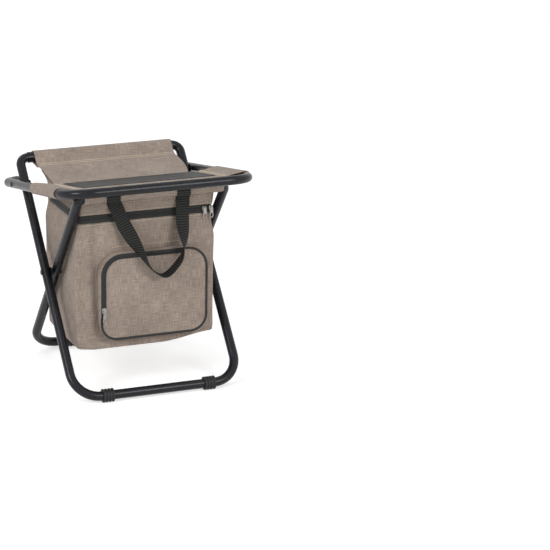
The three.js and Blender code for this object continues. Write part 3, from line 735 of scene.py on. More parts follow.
for word, across in (("left", -1), ("right", 1)):
    for k, seam in enumerate((SLING_SEAM, SLING_SEAM + SEAM_GAP)):
        forward = np.linspace(SLING_START + SEAM_STOP, SLING_END - SEAM_STOP, 30)
        seam_path = seat_points(across * seam, forward, lift + SEAM_CLIMB * k + STITCH_LIFT)
        stitches(f"sling_seam_{word}_{k}", seam_path, seat_normal, "seat")
for word, forward in (("rear", SLING_START + HEM_STITCH), ("front", SLING_END - HEM_STITCH)):
    across = np.linspace(-SLING_SEAM + HEM_STOP, SLING_SEAM - HEM_STOP, 60)
    hem_path = seat_points(across, forward, lift + STITCH_LIFT)
    stitches(f"sling_hem_{word}", hem_path, seat_normal, "seat")


# Seat panel: a smooth black PVC-coated patch sewn flat on the sling, slightly glossy, with a fine
# leather-like grain. It is stitched down all round, 4 mm in from its edge.
coated = shaded(
    "black PVC coated fabric",
    mottled(0.04, "#1b1a19", "#242221", 0.35, 0.65),
    uneven(0.012, 0.5, 0.6),
    {"Specular IOR Level": 0.22},
    grain(0.0009), 0.00008, 0.35,
)
PANEL_HALF = 0.1225
PANEL_DEPTH = 0.117
PANEL_EDGE = 0.0006
PANEL_DIP = 0.0010
PANEL_GAP = 0.0002
PANEL_THICKNESS = 0.0009
PANEL_PUCKER = 0.00018
panel_from = SLING_START + (SLING_END - SLING_START - PANEL_DEPTH) / 2
panel_to = panel_from + PANEL_DEPTH
panel_base = lift + PANEL_GAP
panel_top = panel_base + PANEL_THICKNESS


def panel_lines(low, high, count):
    """Places across the panel, with a rounded edge at both ends: the edge lines bunch together."""
    inner = np.linspace(low + 2 * PANEL_EDGE, high - 2 * PANEL_EDGE, count)
    return np.concatenate([[low, low + 0.3 * PANEL_EDGE], inner, [high - 0.3 * PANEL_EDGE, high]])


panel_x, panel_y = np.meshgrid(panel_lines(-PANEL_HALF, PANEL_HALF, 60),
                               panel_lines(panel_from, panel_to, 32))
inset = np.minimum(PANEL_HALF - np.abs(panel_x), np.minimum(panel_y - panel_from, panel_to - panel_y))
rise = np.sqrt(np.clip(inset / (2 * PANEL_EDGE), 0, 1))
dip = (-PANEL_DIP * np.sin((panel_y - panel_from) / PANEL_DEPTH * math.pi)
       * (1 - smooth(np.abs(panel_x), 0.02, 0.12)))
pucker = PANEL_PUCKER * ripple((1, panel_x * 120 + panel_y * 40), (0.7, panel_y * 170 - panel_x * 30))
upper = seat_points(panel_x, panel_y, panel_base + (panel_top - panel_base) * rise + dip + pucker)
lower = seat_points(panel_x, panel_y, panel_base + dip + pucker)
panel = surface("coated_panel", np.concatenate([upper, lower[::-1]]), (True, False), weld=2e-5)
place(panel, coated, "seat", "coated_cloth", "seat_panel")
dark_thread = shaded(
    "black polyester sewing thread",
    mottled(0.0008, "#2b2b2c", "#3d3d3f"),
    0.7,
)
PANEL_STITCH = 0.004
seam_half = PANEL_HALF - PANEL_STITCH
seam_from, seam_to = panel_from + PANEL_STITCH, panel_to - PANEL_STITCH
for word, across, forward in [
    ("rear", np.linspace(-seam_half, seam_half, 50), seam_from),
    ("front", np.linspace(-seam_half, seam_half, 50), seam_to),
    ("left", -seam_half, np.linspace(seam_from, seam_to, 30)),
    ("right", seam_half, np.linspace(seam_from, seam_to, 30)),
]:
    stitches(f"panel_seam_{word}", seat_points(across, forward, panel_top + 0.0001), seat_normal,
             "seat", "coated_cloth", dark_thread)


# Lid: one sheet of the same cloth, wrapped and sewn round the rear rail, slung like a hammock to the
# front rail and wrapped round that. It closes the bag from above and folds between the rails.
RAIL_SLEEVE = RAIL + SLEEVE_GAP + CLOTH / 2
REAR_SEAM = REAR_RAIL + np.array([0, -0.02375, -0.01075])
FRONT_SEAM = FRONT_RAIL + np.array([0, 0.027, -0.0124])
LID_HALF = 0.1226
LID_SAG = 0.013
LID_BULGE = 0.0045
LID_FOLD = 0.0010
LID_HOLLOW = 0.0012
LID_GATHER = 0.0003
lid_rear = REAR_SEAM[1:] + [-0.0010, 0.0006]
lid_front = FRONT_SEAM[1:] + [0.0010, 0.0006]


def lid_line(share):
    """(y, z) along the hammock: a straight line between the rails, less a parabola's sag."""
    share = np.asarray(share)[..., None]
    return lid_rear + (lid_front - lid_rear) * share - [0, LID_SAG] * (4 * share * (1 - share))


def sleeve_arc(centre, first, last):
    """(y, z) round a rail at the sleeve's radius, from where a line from the first point touches it to
    where a line from the last one does."""
    start, end = touch(first - centre, RAIL_SLEEVE, 1), touch(last - centre, RAIL_SLEEVE, -1)
    return centre + RAIL_SLEEVE * on_circle(np.linspace(start, end + 2 * math.pi * (end < start), 34))


rear_arc = sleeve_arc(REAR_RAIL[1:], REAR_SEAM[1:] - [0, CLOTH], REAR_SEAM[1:])
front_arc = sleeve_arc(FRONT_RAIL[1:], FRONT_SEAM[1:], FRONT_SEAM[1:] - [0, CLOTH])
rear_part = np.concatenate([
    np.linspace(REAR_SEAM[1:] - [0, 1.5 * CLOTH], rear_arc[0], 8, endpoint=False),
    rear_arc,
    np.linspace(rear_arc[-1], REAR_SEAM[1:], 9)[1:-1],
])
middle_part = lid_line(np.linspace(0, 1, 60))
front_part = np.concatenate([
    np.linspace(FRONT_SEAM[1:], front_arc[0], 8)[1:-1],
    front_arc,
    np.linspace(front_arc[-1], FRONT_SEAM[1:] - [0, 1.5 * CLOTH], 8)[1:],
])
lid_profile = np.concatenate([rear_part, middle_part, front_part])
lid_run = run_length(lid_profile)
rear_end = lid_run[len(rear_part)]
front_start = lid_run[len(rear_part) + len(middle_part) - 1]
REAR_HALF = 0.1268
REAR_RIGHT = 0.1345
FRONT_HALF = 0.127
half_width = (LID_HALF + (REAR_HALF - LID_HALF) * (1 - smooth(lid_run, rear_end - 0.012, rear_end + 0.02))
              + (FRONT_HALF - LID_HALF) * smooth(lid_run, front_start - 0.02, front_start))
widening = ((REAR_RIGHT - LID_HALF) * (1 - smooth(lid_run, rear_end + 0.03, rear_end + 0.13))
            + LID_BULGE * smooth(lid_run, rear_end - 0.01, rear_end + 0.03)
            * (1 - smooth(lid_run, rear_end + 0.05, rear_end + 0.12)))
right_width = np.maximum(half_width, LID_HALF + widening)
EDGE_TURN = math.pi / 2 * 0.92
share_x = np.sin(np.linspace(-1, 1, 61) * EDGE_TURN) / math.sin(EDGE_TURN)
lid_x = np.where(share_x < 0, half_width[:, None], right_width[:, None]) * share_x
run = np.broadcast_to(lid_run[:, None], lid_x.shape)
loose = (smooth(run, rear_end, rear_end + 0.04) * (1 - smooth(run, front_start - 0.045, front_start - 0.01)))
creases = ripple((1, lid_x * 58 + run * 12), (0.6, lid_x * 21 - run * 40 + 1), (0.4, run * 95))
fold = loose * (LID_FOLD * creases - LID_HOLLOW * (1 - (lid_x / LID_HALF) ** 2))
gather = (1 - loose) * smooth(run, rear_end - 0.004, rear_end) * LID_GATHER * ripple((1, lid_x * 260))
lid_points = np.stack([lid_x, np.broadcast_to(lid_profile[:, :1], lid_x.shape),
                       lid_profile[:, 1:] + fold + gather], axis=-1)
lid = surface("lid_cloth", lid_points, closed=False)
place(thicken(lid, CLOTH), cloth, None, "melange_cloth", "rear_sleeve", "lid_panel", "front_sleeve")
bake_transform(lid)
SEAM_LEFT, SEAM_RIGHT = -0.122, 0.1315
SEAM_BEFORE, SEAM_AFTER = 0.0035, 0.0015
SLOPE_STEP = 0.0005
for word, distance in (("rear_a", rear_end - SEAM_BEFORE), ("rear_b", rear_end + SEAM_AFTER)):
    slope = (at_run(distance + SLOPE_STEP, lid_run, lid_profile)
             - at_run(distance - SLOPE_STEP, lid_run, lid_profile))
    normal = unit(np.array([0, slope[1], -slope[0]]))
    y, z = at_run(distance, lid_run, lid_profile)
    across = np.linspace(SEAM_LEFT, SEAM_RIGHT, 62)
    path = np.stack(np.broadcast_arrays(across, y, z), axis=-1) + (CLOTH / 2 + SEAM_LIFT) * normal
    stitches(f"lid_seam_{word}", path, normal, "outer_legs")


# Front flap and upper walls: the flap drops from the front rail's seam to the zip; behind it the side
# and rear walls rise to the lid, from the zip and behind its ends from the bag's edge. All are the same
# cloth, sewn to the lid's underside.
BAG_LOW, BAG_HIGH = corners("bag_shell")
BAG_HALF = BAG_HIGH[0]
BAG_FRONT = BAG_LOW[1]
BAG_REAR = BAG_HIGH[1]
BAG_BOTTOM = BAG_LOW[2]
ZIP_LOW, ZIP_HIGH = (corner[2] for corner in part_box("main_zip_tape"))
BAG_CORNER = 0.009
FLAP_BOW = 0.0018
FLAP_WAVE = 0.0006
flap_top = FRONT_SEAM[1:] - [0, CLOTH]
flap_foot = np.array([BAG_FRONT + CLOTH / 2, ZIP_HIGH + 0.0006])
flap_share = np.linspace(0, 1, 22)
flap_curve = flap_top + (flap_foot - flap_top) * flap_share[:, None]
flap_curve[:, 0] -= FLAP_BOW * np.sin(flap_share * math.pi)
flap_x = np.linspace(-LID_HALF + 0.0006, LID_HALF - 0.0006, 61)
flap_wave = (FLAP_WAVE * np.sin(flap_share * math.pi)[:, None]
             * ripple((1, flap_x * 46), (0.7, flap_x * 113 + 1)))
flap_points = np.stack([np.broadcast_to(flap_x, flap_wave.shape), flap_curve[:, :1] - flap_wave,
                        np.broadcast_to(flap_curve[:, 1:], flap_wave.shape)], axis=-1)
flap = surface("front_flap_cloth", flap_points, closed=False)
place(thicken(flap, CLOTH), cloth, None, "melange_cloth", "front_flap")
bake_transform(flap)
flap_outward = unit(np.array([0, flap_foot[1] - flap_top[1], flap_top[0] - flap_foot[0]]))
seam_x = np.linspace(-LID_HALF + 0.003, LID_HALF - 0.003, 60)
flap_seam = np.stack(np.broadcast_arrays(seam_x, *(flap_foot + [-0.0026, 0.0024])), axis=-1)
stitches("flap_seam", flap_seam, flap_outward, "bag")
for k in (0, 1):
    seam_y, seam_z = at_run(0.06 + 0.23 * k, flap_share, flap_curve)
    sleeve_seam = np.stack(np.broadcast_arrays(seam_x, seam_y - 0.0009, seam_z), axis=-1)
    stitches(f"sleeve_seam_{k}", sleeve_seam, flap_outward, "inner_legs")


WALL_SIDE_STEPS = 26
WALL_BACK_STEPS = 40
WALL_HOLLOW = 0.0045
WALL_RIPPLE = 0.0018
WALL_FRONT_INSET, WALL_REAR_INSET = 0.006, 0.004
WALL_DIP = 0.0016
WALL_GAP = 0.0012
ZIP_LAP_ABOVE, ZIP_LAP_BELOW = 0.0005, 0.0006
ZIP_END_FROM, ZIP_END_TO = 0.0235, 0.0215


def wall_path():
    """Round the bag's top edge from its front left, along the left side, the back and the right side:
    (x, y) with quarter circles at the rear corners."""
    front = BAG_FRONT + 3 * CLOTH
    side = np.linspace(front, BAG_REAR - BAG_CORNER, WALL_SIDE_STEPS)
    turn = np.linspace(math.pi, math.pi / 2, 9)[1:]
    corner = on_circle(turn) * BAG_CORNER
    left = np.concatenate([
        np.stack([np.full(WALL_SIDE_STEPS, -BAG_HALF), side], axis=-1),
        corner + [-BAG_HALF + BAG_CORNER, BAG_REAR - BAG_CORNER],
    ])
    back_x = np.linspace(left[-1, 0], -left[-1, 0], WALL_BACK_STEPS)[1:-1]
    back = np.stack([back_x, np.full(len(back_x), BAG_REAR)], axis=-1)
    return np.concatenate([left, back, (left * [-1, 1])[::-1]])


wall = wall_path() * [1 - CLOTH / 2 / BAG_HALF, 1]
wall_share = np.clip((wall[:, 1] - BAG_FRONT) / (BAG_REAR - BAG_FRONT), 0, 1)
top_y = (lid_front[0] + WALL_FRONT_INSET
         + (lid_rear[0] - WALL_REAR_INSET - lid_front[0] - WALL_FRONT_INSET) * wall_share)
lid_share = (top_y - lid_rear[0]) / (lid_front[0] - lid_rear[0])
top_z = lid_line(lid_share)[:, 1] - CLOTH - WALL_DIP * (1 - (wall[:, 0] / BAG_HALF) ** 2) - WALL_GAP
rise = np.linspace(0, 1, 18)[:, None]
wall_y = wall[:, 1] + (top_y - wall[:, 1]) * rise
behind_zip = smooth(wall[:, 1], BAG_REAR - ZIP_END_FROM, BAG_REAR - ZIP_END_TO)
wall_low = ZIP_HIGH + ZIP_LAP_ABOVE - (ZIP_HIGH - ZIP_LOW + ZIP_LAP_BELOW) * behind_zip
wall_z = wall_low + (top_z - wall_low) * rise
slack = np.sin(rise * math.pi)
wall_in = slack * (WALL_HOLLOW + WALL_RIPPLE * ripple((1, wall_y * 70), (0.7, wall[:, 0] * 45)))
wall_x = wall[:, 0] * (1 - wall_in / BAG_HALF)
wall_y = wall_y - 0.5 * wall_in * (wall_share == 1)
walls = surface("upper_wall_cloth", np.stack([wall_x, wall_y, wall_z], axis=-1), closed=False)
place(thicken(walls, CLOTH), cloth, "bag", "melange_cloth", "bag_upper_wall")


def flatten(piece):
    """Gives one of the bag's pieces its own copy of its mesh."""
    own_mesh(piece)


flatten(walls)


# Cooler bag: a soft box of melange cloth over a white foam wall and a foil lining, with a board in
# its base. The cloth sags in between its corners, and its lower corners are drawn up a little.
def joined(arcs, counts):
    """Arcs joined to a ring by straight lines, each with its own count of points."""
    ring = []
    for k, arc in enumerate(arcs):
        ring += [arc, np.linspace(arc[-1], arcs[(k + 1) % len(arcs)][0], counts[k])[1:-1]]
    return np.concatenate(ring)


BAG_SIDE_STEPS = 22
BAG_FRONT_STEPS = 44
BAG_CORNER_STEPS = 9


def bag_ring(inset):
    """Round the bag seen from above, starting at its rear left corner: (x, y) with quarter circles."""
    half = BAG_HALF - inset
    front, rear = BAG_FRONT + inset, BAG_REAR - inset
    radius = max(BAG_CORNER - inset, 0.002)
    pieces = []
    for x, y, sign_x, sign_y, quarter in [(-half, rear, -1, 1, 1), (-half, front, -1, -1, 2),
                                          (half, front, 1, -1, 3), (half, rear, 1, 1, 0)]:
        turn = math.pi / 2 * quarter + np.linspace(0, math.pi / 2, BAG_CORNER_STEPS)
        pieces.append(on_circle(turn) * radius + [x - sign_x * radius, y - sign_y * radius])
    return joined(pieces, [BAG_SIDE_STEPS, BAG_FRONT_STEPS] * 2)


SIDE_SWELL = 0.0062
LIFT_LEFT = 0.003
LIFT_RIGHT = 0.012
SIDE_HOLLOW = 0.0012
REAR_HOLLOW = 0.0028
REAR_RIPPLE = 0.0016
FRONT_RIPPLE = 0.0014
VALLEY_DEPTH = 0.0075
FOLD_DEPTH = 0.0038
BASE_SEAM_DEPTH = 0.0019
BASE_TAPER = 0.0010


def beside_legs(y, z):
    """How far the side may swell past the legs' inner faces: nothing within 10 mm of the inner legs'
    line, rising smoothly to SIDE_SWELL at 34 mm from it."""
    leg_y = FRONT_RAIL[1] + (FRONT_RAIL[2] - z) * math.tan(INNER_LEAN)
    return SIDE_SWELL * smooth(np.abs(y - leg_y) * math.cos(INNER_LEAN), 0.010, 0.034)


def base_lift(x):
    """How far the bag's base is drawn up at a place across it: a little on the left, more on the right."""
    return LIFT_LEFT * smooth(-x, BAG_HALF - 0.03, BAG_HALF) + LIFT_RIGHT * smooth(x, 0.03, BAG_HALF)


def bag_skin(inset, low, high, rows=52):
    """The bag's wall as rings up its height: each ring swells out beside the legs and is drawn in at
    its folds, and the bottom rises towards its corners, most at the right."""
    ring = bag_ring(inset)
    x, y = ring[:, 0], ring[:, 1]
    share = np.linspace(0, 1, rows)[:, None]
    lift = base_lift(x) * (1 - share) ** 4
    z = low + (high - low) * share + lift
    height = (z - BAG_BOTTOM) / (ZIP_LOW - BAG_BOTTOM)
    swell = np.sin(np.clip(height, 0, 1) * math.pi)
    on_side = smooth(np.abs(x) + inset, BAG_HALF - 0.012, BAG_HALF - 0.002)
    on_front = smooth(inset - y, -BAG_FRONT - 0.012, -BAG_FRONT - 0.002)
    on_rear = smooth(y + inset, BAG_REAR - 0.012, BAG_REAR - 0.002)
    beside_pocket = smooth(-x, 0.078, 0.099) * (1 - smooth(-x, 0.102, 0.122))
    swelling = beside_legs(y, z) * smooth(height, -0.04, 0.10) * (1 - smooth(height, 0.86, 1.0))
    side_in = on_side * (0.0004 - swelling) + swell * on_side * (
        SIDE_HOLLOW + SIDE_HOLLOW * ripple((1, y * 48 + z * 9), (0.7, y * 92 - z * 21), (0.5, z * 33)))
    valley = VALLEY_DEPTH * beside_pocket * smooth(height, 0.05, 0.5) * (1 - 0.4 * smooth(height, 0.8, 1))
    corner_folds = (FOLD_DEPTH * smooth(-x, 0.07, 0.09) * smooth(height, 0.05, 0.35)
                    * ripple((1, x * 205 + z * 5 - 0.6)))
    base_seam = BASE_SEAM_DEPTH * (smooth(z, low + 0.012, low + 0.0135)
                                   - smooth(z, low + 0.0135, low + 0.0165))
    front_waves = ripple((0.6, x * 62 + z * 12), (0.5, x * 31 - z * 40))
    front_in = on_front * (valley + corner_folds + base_seam + swell * FRONT_RIPPLE * (1 + front_waves))
    rear_waves = ripple((1, x * 52 + z * 15), (0.6, x * 27 - z * 38))
    rear_in = swell * on_rear * (REAR_HOLLOW + REAR_RIPPLE * rear_waves)
    base_in = BASE_TAPER * (1 - smooth(height, 0, 0.035))
    inward_x = np.sign(x) * (side_in + base_in)
    inward_y = front_in + base_in * on_front - rear_in - base_in * on_rear
    return np.stack([x - inward_x, y + inward_y, z], axis=-1)


def closed_below(grid, floor):
    """A wall's rings carried on under it to the middle, as a floor at its own height."""
    middle = grid[0].mean(axis=0)
    shares = np.array([0.02, 0.35, 0.7, 0.9, 0.975])[:, None, None]
    floor_rings = middle + (grid[0] - middle) * shares
    floor_rings[..., 2] = grid[0][:, 2] * shares[..., 0] + floor * (1 - shares[..., 0])
    floor_rings[-1, :, 2] = grid[0][:, 2]
    return np.concatenate([floor_rings, grid])


skin = bag_skin(0.0, BAG_BOTTOM, ZIP_LOW - 0.0003)
bag = surface("bag_cloth", closed_below(skin, BAG_BOTTOM), (False, True), closed=False, weld=1e-5)
outward_bag = bmesh.new()
outward_bag.from_mesh(bag.data)
bmesh.ops.recalc_face_normals(outward_bag, faces=outward_bag.faces)
outward_bag.to_mesh(bag.data)
outward_bag.free()
place(thicken(bag, CLOTH, -1), cloth, "bag", "melange_cloth", "bag_shell")
flatten(bag)

foam_white = shaded(
    "white expanded polyethylene foam",
    mottled(0.003, "#dcdcd8", "#f0f0ec"),
    0.8,
    {"Subsurface Weight": 0.05},
    grain(0.002), 0.0003, 0.5,
)
foil_lining = shaded(
    "aluminised film lining",
    mottled(0.02, "#aeb1b5", "#d3d5d8"),
    0.28,
    {"Metallic": 1.0},
    grain(0.009, 4.0), 0.0006, 0.6,
)
grey_board = shaded(
    "grey pressed board",
    mottled(0.0015, "#5d5751", "#7b756e", detail=4.0),
    0.9,
    None,
    grain(0.001), 0.0001, 0.5,
)
RIM = ZIP_LOW - 0.0012
FOAM_FLOOR = BAG_BOTTOM + 0.0052
FOAM_INSIDE_FLOOR = BAG_BOTTOM + 0.0092
LINING_FLOOR = BAG_BOTTOM + 0.0097
foam_outer = bag_skin(0.0019, FOAM_FLOOR, RIM, 30)
foam_inner = bag_skin(0.0057, FOAM_INSIDE_FLOOR, RIM, 30)
foam_skin = np.concatenate([closed_below(foam_outer, FOAM_FLOOR),
                            closed_below(foam_inner, FOAM_INSIDE_FLOOR)[::-1]])
foam = surface("foam_wall", foam_skin, (False, True), weld=1e-5)
place(foam, foam_white, "bag", "foam", "insulation_foam")
flatten(foam)
lining_skin = closed_below(bag_skin(0.0062, LINING_FLOOR, RIM, 30), LINING_FLOOR)
lining = surface("foil_lining", lining_skin, (False, True), closed=False, weld=1e-5)
place(thicken(lining, 0.0006, 1), foil_lining, "bag", "foil", "foil_liner")
flatten(lining)
board_ring = bag_ring(0.0035)
board_grid = np.stack([
    level(board_ring * share, z)
    for share, z in [(0.0, BAG_BOTTOM + 0.0018), (0.99, BAG_BOTTOM + 0.0018), (1, BAG_BOTTOM + 0.0022),
                     (1, BAG_BOTTOM + 0.0044), (0.99, BAG_BOTTOM + 0.0048), (0.0, BAG_BOTTOM + 0.0048)]
])
board_grid[..., 2] += base_lift(board_grid[..., 0])
board = surface("stiffening_board", board_grid, (False, True), weld=1e-5)
place(board, grey_board, "bag", "base_board", "base_board")
flatten(board)


# Main zip: black woven tape with a nylon coil along its middle, sewn round the bag's left side,
# front and right side under the flap.
zip_tape = shaded(
    "black woven zip tape",
    lambda t: ramp(t, yarns(t, 1), "#151615", "#262725", 0.35, 0.65),
    0.75,
    {"Sheen Weight": 0.1},
    lambda t: weave_waves(t, THREAD), 0.0002, 0.6,
)
zip_coil = shaded(
    "black nylon zip coil",
    mottled(0.002, "#0e0f0f", "#1d1e1e"),
    0.42,
)
ZIP_END = BAG_REAR - 0.0223


def zip_path(out):
    """Round the bag's sides and front at a distance outside its wall, from rear left to rear right."""
    side = np.linspace(ZIP_END, BAG_FRONT + BAG_CORNER, 30)
    turn = np.linspace(math.pi, 1.5 * math.pi, 14)[1:-1]
    radius = BAG_CORNER + out
    arc = on_circle(turn) * radius + [-BAG_HALF + BAG_CORNER, BAG_FRONT + BAG_CORNER]
    left = np.concatenate([np.stack([np.full(30, -BAG_HALF - out), side], axis=-1), arc])
    front_x = np.linspace(-BAG_HALF + BAG_CORNER, BAG_HALF - BAG_CORNER, 60)
    front = np.stack([front_x, np.full(60, BAG_FRONT - out)], axis=-1)
    return np.concatenate([left, front, (left * [-1, 1])[::-1]])


tape_grid = np.stack([level(zip_path(-CLOTH / 2), z) for z in np.linspace(ZIP_LOW, ZIP_HIGH, 7)])
tape = surface("main_zip_strip", tape_grid, closed=False)
place(thicken(tape, CLOTH), zip_tape, "bag", "zip_tape", "main_zip_tape")
flatten(tape)
COIL_PITCH = 0.0019


def coil(name, path, outward, across, width, height):
    """Zip teeth: one low rounded bar every pitch along a path, lying across the tape."""
    run = run_length(path)
    marks = np.arange(COIL_PITCH / 2, run[-1], COIL_PITCH)
    normal = unit(at_run(marks, run, np.broadcast_to(outward, path.shape)))
    across = unit(at_run(marks, run, np.broadcast_to(across, path.shape)))
    teeth = spindles(name, at_run(marks, run, path), across, np.cross(normal, across), normal,
                     width, [-0.5, -0.38, 0.38, 0.5], circle(1, 8) * [COIL_PITCH * 0.36, height])
    return place(teeth, zip_coil, "bag", "zip_tape")


ZIP_MIDDLE = (ZIP_LOW + ZIP_HIGH) / 2
coil_path = level(zip_path(0.0001), ZIP_MIDDLE)
coil_ahead = unit(np.gradient(coil_path, axis=0))
coil_out = np.cross(coil_ahead, [0, 0, -1.0])
coil_out *= np.sign((coil_out * (coil_path - coil_path.mean(axis=0))).sum(axis=1, keepdims=True))
flatten(coil("main_zip_coil", coil_path, coil_out, [0, 0, 1.0], 0.0048, 0.0007))
under_path = level(zip_path(0.0002), ZIP_LOW - 0.0032)
under_front = under_path[np.abs(under_path[:, 0]) < BAG_HALF - 0.004]
flatten(stitches("bag_top_seam", under_front, [0, -1.0, 0], "bag"))


# Front pocket: a cloth box sewn to the bag's front, its face swollen a little, with zip tape round the
# left and top of the face and thin black piping round the right and bottom.
POCKET_LOW, POCKET_HIGH = corners("pocket_pouch")
TOP_CORNER = 0.038
FOOT_CORNER = 0.030
TAPE_WIDTH = 0.009
POCKET_SWELL = 0.0030
POCKET_RIPPLE = 0.0007
WELT_INNER, WELT_OUTER = 0.0033, -0.0006
ARC_STEPS = 12
TOP_STEPS = 24
SIDE_STEPS = 16


def pocket_ring(inset):
    """Round the pocket's face from its lower left corner, clockwise as seen from the front: (x, z)."""
    x0, x1 = POCKET_LOW[0] + inset, POCKET_HIGH[0] - inset
    z0, z1 = POCKET_LOW[2] + inset, POCKET_HIGH[2] - inset
    foot, top = max(FOOT_CORNER - inset, 1e-4), max(TOP_CORNER - inset, 1e-4)
    arcs = [(x0, z0, foot, 1, 1, 1.5), (x0, z1, top, 1, -1, 1.0),
            (x1, z1, top, -1, -1, 0.5), (x1, z0, foot, -1, 1, 0.0)]
    pieces = []
    for x, z, radius, sign_x, sign_z, start in arcs:
        turn = math.pi * (start - np.linspace(0, 0.5, ARC_STEPS))
        arc = on_circle(turn) * radius
        pieces.append(arc + [x + sign_x * radius, z + sign_z * radius])
    return joined(pieces, [SIDE_STEPS, TOP_STEPS] * 2)


POCKET_BACK = POCKET_HIGH[1]
POCKET_FACE = POCKET_LOW[1]
POCKET_SIDE_SECTIONS = [(0, 0), (0, 0.15), (0, 0.5), (0, 0.85), (0.0006, 0.95), (0.0022, 1.0)]
pocket_rows = []
for inset, depth_share in POCKET_SIDE_SECTIONS:
    y = POCKET_BACK + (POCKET_FACE - POCKET_BACK) * depth_share
    pocket_rows.append(upright(pocket_ring(inset), y))
face_insets = np.concatenate([np.linspace(0.006, 0.026, 6), np.linspace(0.032, 0.07795, 9)])
for inset in face_insets:
    ring = pocket_ring(inset)
    dome = POCKET_SWELL * smooth(inset, 0.004, 0.05)
    waves = POCKET_RIPPLE * smooth(inset, 0.004, 0.02) * ripple(
        (1, ring[:, 0] * 47 + ring[:, 1] * 10), (0.7, ring[:, 1] * 60))
    pocket_rows.append(upright(ring, POCKET_FACE - dome - waves))
pocket_grid = np.stack(pocket_rows)
ringed = np.concatenate([pocket_grid, pocket_grid[:, :1]], axis=1)
pocket_uv = np.stack([ringed[..., 0], ringed[..., 2] + (ringed[..., 1] - POCKET_FACE)], axis=-1)
pocket = surface("pocket_cloth", pocket_grid, (False, True), uv=pocket_uv, weld=1.5e-4, closed=False)
place(thicken(pocket, 0.0009, 1), cloth, "bag", "melange_cloth", "pocket_pouch")

tape_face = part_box("pocket_zip_tape")[0][1]
ring_points = pocket_ring(0.0)
left_start = ARC_STEPS + 1
top_end = 3 * ARC_STEPS + TOP_STEPS
seam_start = left_start + SIDE_STEPS + 6
POCKET_STITCH_OUT = 0.0085


STRIP_EDGE = 0.0004
COIL_WIDTH = 0.0036
COIL_HEIGHT = 0.0005


def face_strip(name, first, last, inner, outer, front, back, material, slot, *nodes):
    """A flat strip round part of the pocket's face, between two insets, with rounded edges."""
    span = np.arange(first, last) % len(ring_points)
    rows = [upright(pocket_ring(inset)[span], y) for inset, y in [
        (outer, back), (outer, front + STRIP_EDGE), (outer + STRIP_EDGE, front),
        (inner - STRIP_EDGE, front), (inner, front + STRIP_EDGE), (inner, back)]]
    strip = surface(name, capped_sides(np.stack(rows)), (True, False))
    return place(strip, material, "bag", slot, *nodes)


def capped_sides(grid):
    """A grid whose sections are closed at both ends of the strip by one more column at their middle."""
    middle = grid[:, [0, -1]].mean(axis=0, keepdims=True).repeat(len(grid), axis=0)
    return np.concatenate([middle[:, :1], grid, middle[:, 1:]], axis=1)


face_strip("pocket_zip_strip", left_start, top_end, TAPE_WIDTH, 0.0, tape_face, POCKET_FACE - 0.0002,
           zip_tape, "zip_tape", "pocket_zip_tape")
face_strip("pocket_welt", top_end - 1, len(ring_points) + left_start + 1, WELT_INNER, WELT_OUTER,
           tape_face + 0.0002, POCKET_FACE + 0.0004, zip_tape, "zip_tape", "pocket_piping")
coil_ring = pocket_ring(TAPE_WIDTH / 2)[left_start:top_end]
pocket_coil_path = upright(coil_ring, tape_face - 0.0001)
coil_along = unit(np.gradient(pocket_coil_path, axis=0))
coil_across = np.cross(coil_along, [0, -1.0, 0])
coil("pocket_zip_coil", pocket_coil_path, [0, -1.0, 0], coil_across, COIL_WIDTH, COIL_HEIGHT)
sewn_ring = upright(pocket_ring(-POCKET_STITCH_OUT), BAG_FRONT - SEAM_LIFT)[seam_start:top_end + 2]
flatten(stitches("pocket_base_seam", sewn_ring, [0, -1.0, 0], "bag"))


# Zip sliders and pulls: die-cast zinc, nickel plated. A pull hangs from each slider's bridge by
# the bar across its top, and has a short window near its round end.
worn_nickel = shaded(
    "worn nickel plated zinc",
    mottled(0.003, "#77736f", "#a5a19c"),
    0.3,
    {"Metallic": 1.0},
    grain(0.001), 0.00004, 0.4,
)


QUARTER_STEPS = 12
PLATE_EDGE = 0.0003
SLIDER_ROUND = 0.7
SLIDER_TAPER = 0.25
SLIDER_SECTIONS = [
    (1.0, 0.0), (1.0, 0.9), (0.8, 1.0), (0.1, 1.0), (-0.2, 0.9), (-0.35, 0.55),
    (-0.8, 0.42), (-1.0, 0.32), (-1.0, 0.0),
]
PULL_TAPER = 0.28
WINDOW_SHARE = 0.4
WINDOW_TOP = 0.0086
WINDOW_LOW = 0.0018


def stadium(half_x, top, bottom, round_share=1.0):
    """A ring with rounded ends from (x, z) half sizes: quarter circles joined by straight sides."""
    radius = half_x * round_share
    pieces = []
    for sign_x, z, start in [(1, top, 0), (-1, top, 0.5), (-1, bottom, 1.0), (1, bottom, 1.5)]:
        turn = math.pi * (start + np.linspace(0, 0.5, QUARTER_STEPS))
        centre = [sign_x * (half_x - radius), z - radius if z == top else z + radius]
        pieces.append(on_circle(turn) * radius + centre)
    return np.concatenate(pieces)


def plate(name, outer, inner, x, front, back):
    """A flat plate with a window: its section goes round from the outer outline to the window's."""
    rows = []
    for ring, grow, y in [
        (outer, -1, front), (outer, 0, front + PLATE_EDGE), (outer, 0, back - PLATE_EDGE),
        (outer, -1, back), (inner, 1, back), (inner, 0, back - PLATE_EDGE),
        (inner, 0, front + PLATE_EDGE), (inner, 1, front),
    ]:
        centre = (ring.max(axis=0) + ring.min(axis=0)) / 2
        outline = ring + grow * PLATE_EDGE * unit(ring - centre + 1e-9)
        rows.append(upright(outline + [x, 0], y))
    return surface(name, np.stack(rows), (True, True), weld=1e-7, sharp=40)


